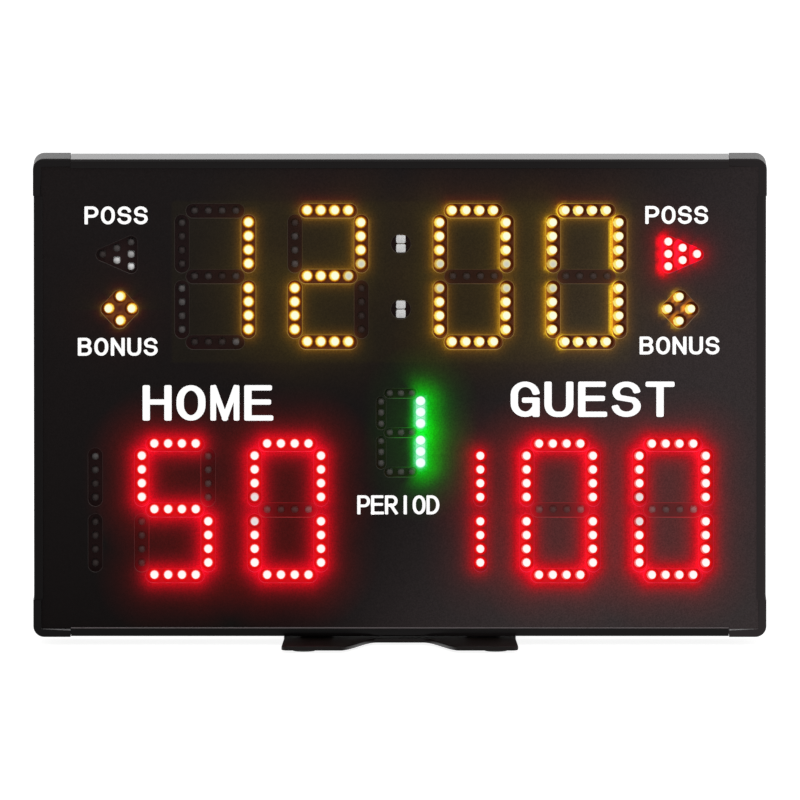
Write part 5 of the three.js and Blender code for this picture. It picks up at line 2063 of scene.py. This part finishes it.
@dataclass
class RearFittings:
    """The cover, the power switch, the charging socket and what lies inside the case."""

    cover_edge: float = 0.25 * MM
    housing_edge: float = 0.35 * MM
    rocker_edge: float = 0.5 * MM
    socket_bore: float = 3.3 * MM
    socket_bore_depth: float = 10.0 * MM
    socket_pin_radius: float = 1.0 * MM
    socket_pin_height: float = 7.0 * MM
    socket_barrel: float = 4.7 * MM
    socket_flange: float = 1.6 * MM
    socket_edge: float = 0.4 * MM
    socket_sides: int = 40

    def build_socket(self) -> None:
        """Makes the socket: a flange with a bore and a pin behind, and a barrel in front."""
        low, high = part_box("charging_socket")
        middle = (low + high) / 2
        back = Vector((0, 1, 0))
        radius = (high.x - low.x) / 2
        rim = Vector((middle.x, high.y, middle.z))
        socket = round_bar("socket", rim - back * self.socket_flange, rim, radius, self.socket_sides)
        bevel_edges(socket, lambda a, b: min(a.y, b.y) > high.y - TINY, self.socket_edge, 3)
        pick_faces(socket, facing(back))
        bpy.ops.mesh.inset(thickness=radius - self.socket_edge - self.socket_bore)
        extrude(-back * self.socket_bore_depth)
        bpy.ops.mesh.inset(thickness=self.socket_bore - self.socket_pin_radius)
        extrude(back * self.socket_pin_height)
        object_mode()
        pick_faces(socket, facing(-back))
        bpy.ops.mesh.inset(thickness=radius - self.socket_barrel)
        depth = high.y - self.socket_flange - low.y
        extrude(-back * depth)
        object_mode()
        smooth(socket, FINE_ANGLE)
        paint(socket, Shade.SWITCH)
        finish_piece(socket, "case", ["charging_socket"])

    def build(self) -> None:
        """Makes the fittings and dresses what keeps its solid."""
        finish_refined("rear_cover", Shade.POWDER, "case", self.cover_edge, 1)
        finish_refined("switch_housing", Shade.SWITCH, "case", self.housing_edge)
        finish_refined("switch_rocker", Shade.SWITCH, "rocker", self.rocker_edge, 3)
        self.build_socket()
        for node, shade in (
            ("charging_socket_nut", Shade.NICKEL), ("control_board", Shade.GREEN_BOARD),
            ("receiver_module", Shade.GREEN_BOARD), ("battery_tray", Shade.MILL_SHEET),
            ("battery_pack", Shade.SHRINK_FILM), ("horn", Shade.CORNER),
        ):
            dress_node(node, shade)


class Studio:
    """The camera, the pale floor, the white surroundings and the soft lights."""

    TARGET = (0.0001, 0.0, 0.1722)
    ELEVATION = math.radians(4.9)
    DISTANCE = 20.0
    VIEW_WIDTH = 0.5681
    FRONT = 0.0285
    SENSOR = 36.0
    CLIP_END = 100.0
    FLOOR_SIZE = 60.0
    FLOOR_DROP = 0.5 * MM
    FLOOR_TONE = 0.5
    FLOOR_LEVEL = 0.9
    WORLD_STRENGTH = 0.55
    # Each softbox: its name, its place, what it faces, the length of its side and its power in watts
    SOFTBOXES = (
        ("overhead_softbox", (0.2, -0.6, 1.7), TARGET, 1.4, 9.0),
        ("right_softbox", (1.0, -0.8, 0.25), (0.2, 0, 0.15), 0.6, 2.0),
    )

    def build_camera(self) -> None:
        """Sets the camera level with the lower half of the front, a little above it."""
        camera = in_scene("camera", bpy.data.cameras.new("camera"))
        away = Vector((0, -math.cos(self.ELEVATION), math.sin(self.ELEVATION)))
        camera.location = Vector(self.TARGET) + away * self.DISTANCE
        camera.rotation_euler = (-away).to_track_quat("-Z", "Y").to_euler()
        camera.data.sensor_width = self.SENSOR
        camera.data.lens = self.SENSOR * (self.DISTANCE - self.FRONT) / self.VIEW_WIDTH
        camera.data.clip_end = self.CLIP_END
        bpy.context.scene.camera = camera

    def build_floor(self) -> None:
        """Lays a pale floor that looks white to the camera and keeps the object's shadow."""
        deselect()
        bpy.ops.mesh.primitive_plane_add(size=self.FLOOR_SIZE, location=(0, 0, -self.FLOOR_DROP))
        floor = active()
        floor.name = "floor"
        settle(floor)
        material, tree = new_material("pale_studio_floor")
        matt = add_node(tree, "ShaderNodeBsdfDiffuse", {"Color": (*(self.FLOOR_TONE,) * 3, 1.0)})
        level = add_math(tree, "MULTIPLY", seen_directly(tree), self.FLOOR_LEVEL)
        light = add_node(tree, "ShaderNodeEmission", {"Color": (1, 1, 1, 1), "Strength": level})
        both = add_node(tree, "ShaderNodeAddShader", {0: matt.outputs[0], 1: light.outputs[0]})
        add_node(tree, "ShaderNodeOutputMaterial", {"Surface": both.outputs[0]})
        floor.data.materials.append(material)

    def build_world(self) -> None:
        """Surrounds the object with white, dimmer where it only lights the object."""
        world = bpy.data.worlds.new("white_surroundings")
        bpy.context.scene.world = world
        world.use_nodes = True
        tree = world.node_tree
        tree.nodes.clear()
        strength = add_node(tree, "ShaderNodeMapRange", {
            "Value": seen_directly(tree), "To Min": self.WORLD_STRENGTH, "To Max": 1.0,
        })
        sky = add_node(tree, "ShaderNodeBackground",
                       {"Color": (1, 1, 1, 1), "Strength": strength.outputs[0]})
        add_node(tree, "ShaderNodeOutputWorld", {"Surface": sky.outputs[0]})

    def add_softbox(self, name: str, place: Vector, aim: Vector, size: float, power: float) -> None:
        """Adds a square softbox.

        Args:
            name: its name.
            place: where it hangs.
            aim: the point that it faces.
            size: the length of its side.
            power: its power in watts.
        """
        lamp = bpy.data.lights.new(name, "AREA")
        lamp.shape = "SQUARE"
        lamp.size = size
        lamp.energy = power
        softbox = in_scene(name, lamp)
        softbox.location = place
        softbox.rotation_euler = (aim - place).to_track_quat("-Z", "Y").to_euler()

    def build(self) -> None:
        """Sets up the studio."""
        scene = bpy.context.scene
        scene.view_settings.view_transform = "Standard"
        self.build_camera()
        self.build_floor()
        self.build_world()
        for name, place, aim, size, power in self.SOFTBOXES:
            self.add_softbox(name, Vector(place), Vector(aim), size, power)


def main() -> None:
    """Builds the studio and every sub-assembly in order."""
    logging.basicConfig(level=logging.INFO, format="%(name)s: %(message)s")
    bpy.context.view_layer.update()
    Studio().build()
    displays = scoreboard_displays()
    Frame().build()
    FrontSheet(displays).build()
    LampBoards(displays).build()
    Stand().build()
    Screw().build()
    ClampKnob().build()
    RearFittings().build()
    deselect()
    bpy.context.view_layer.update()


if __name__ == "__main__":
    main()
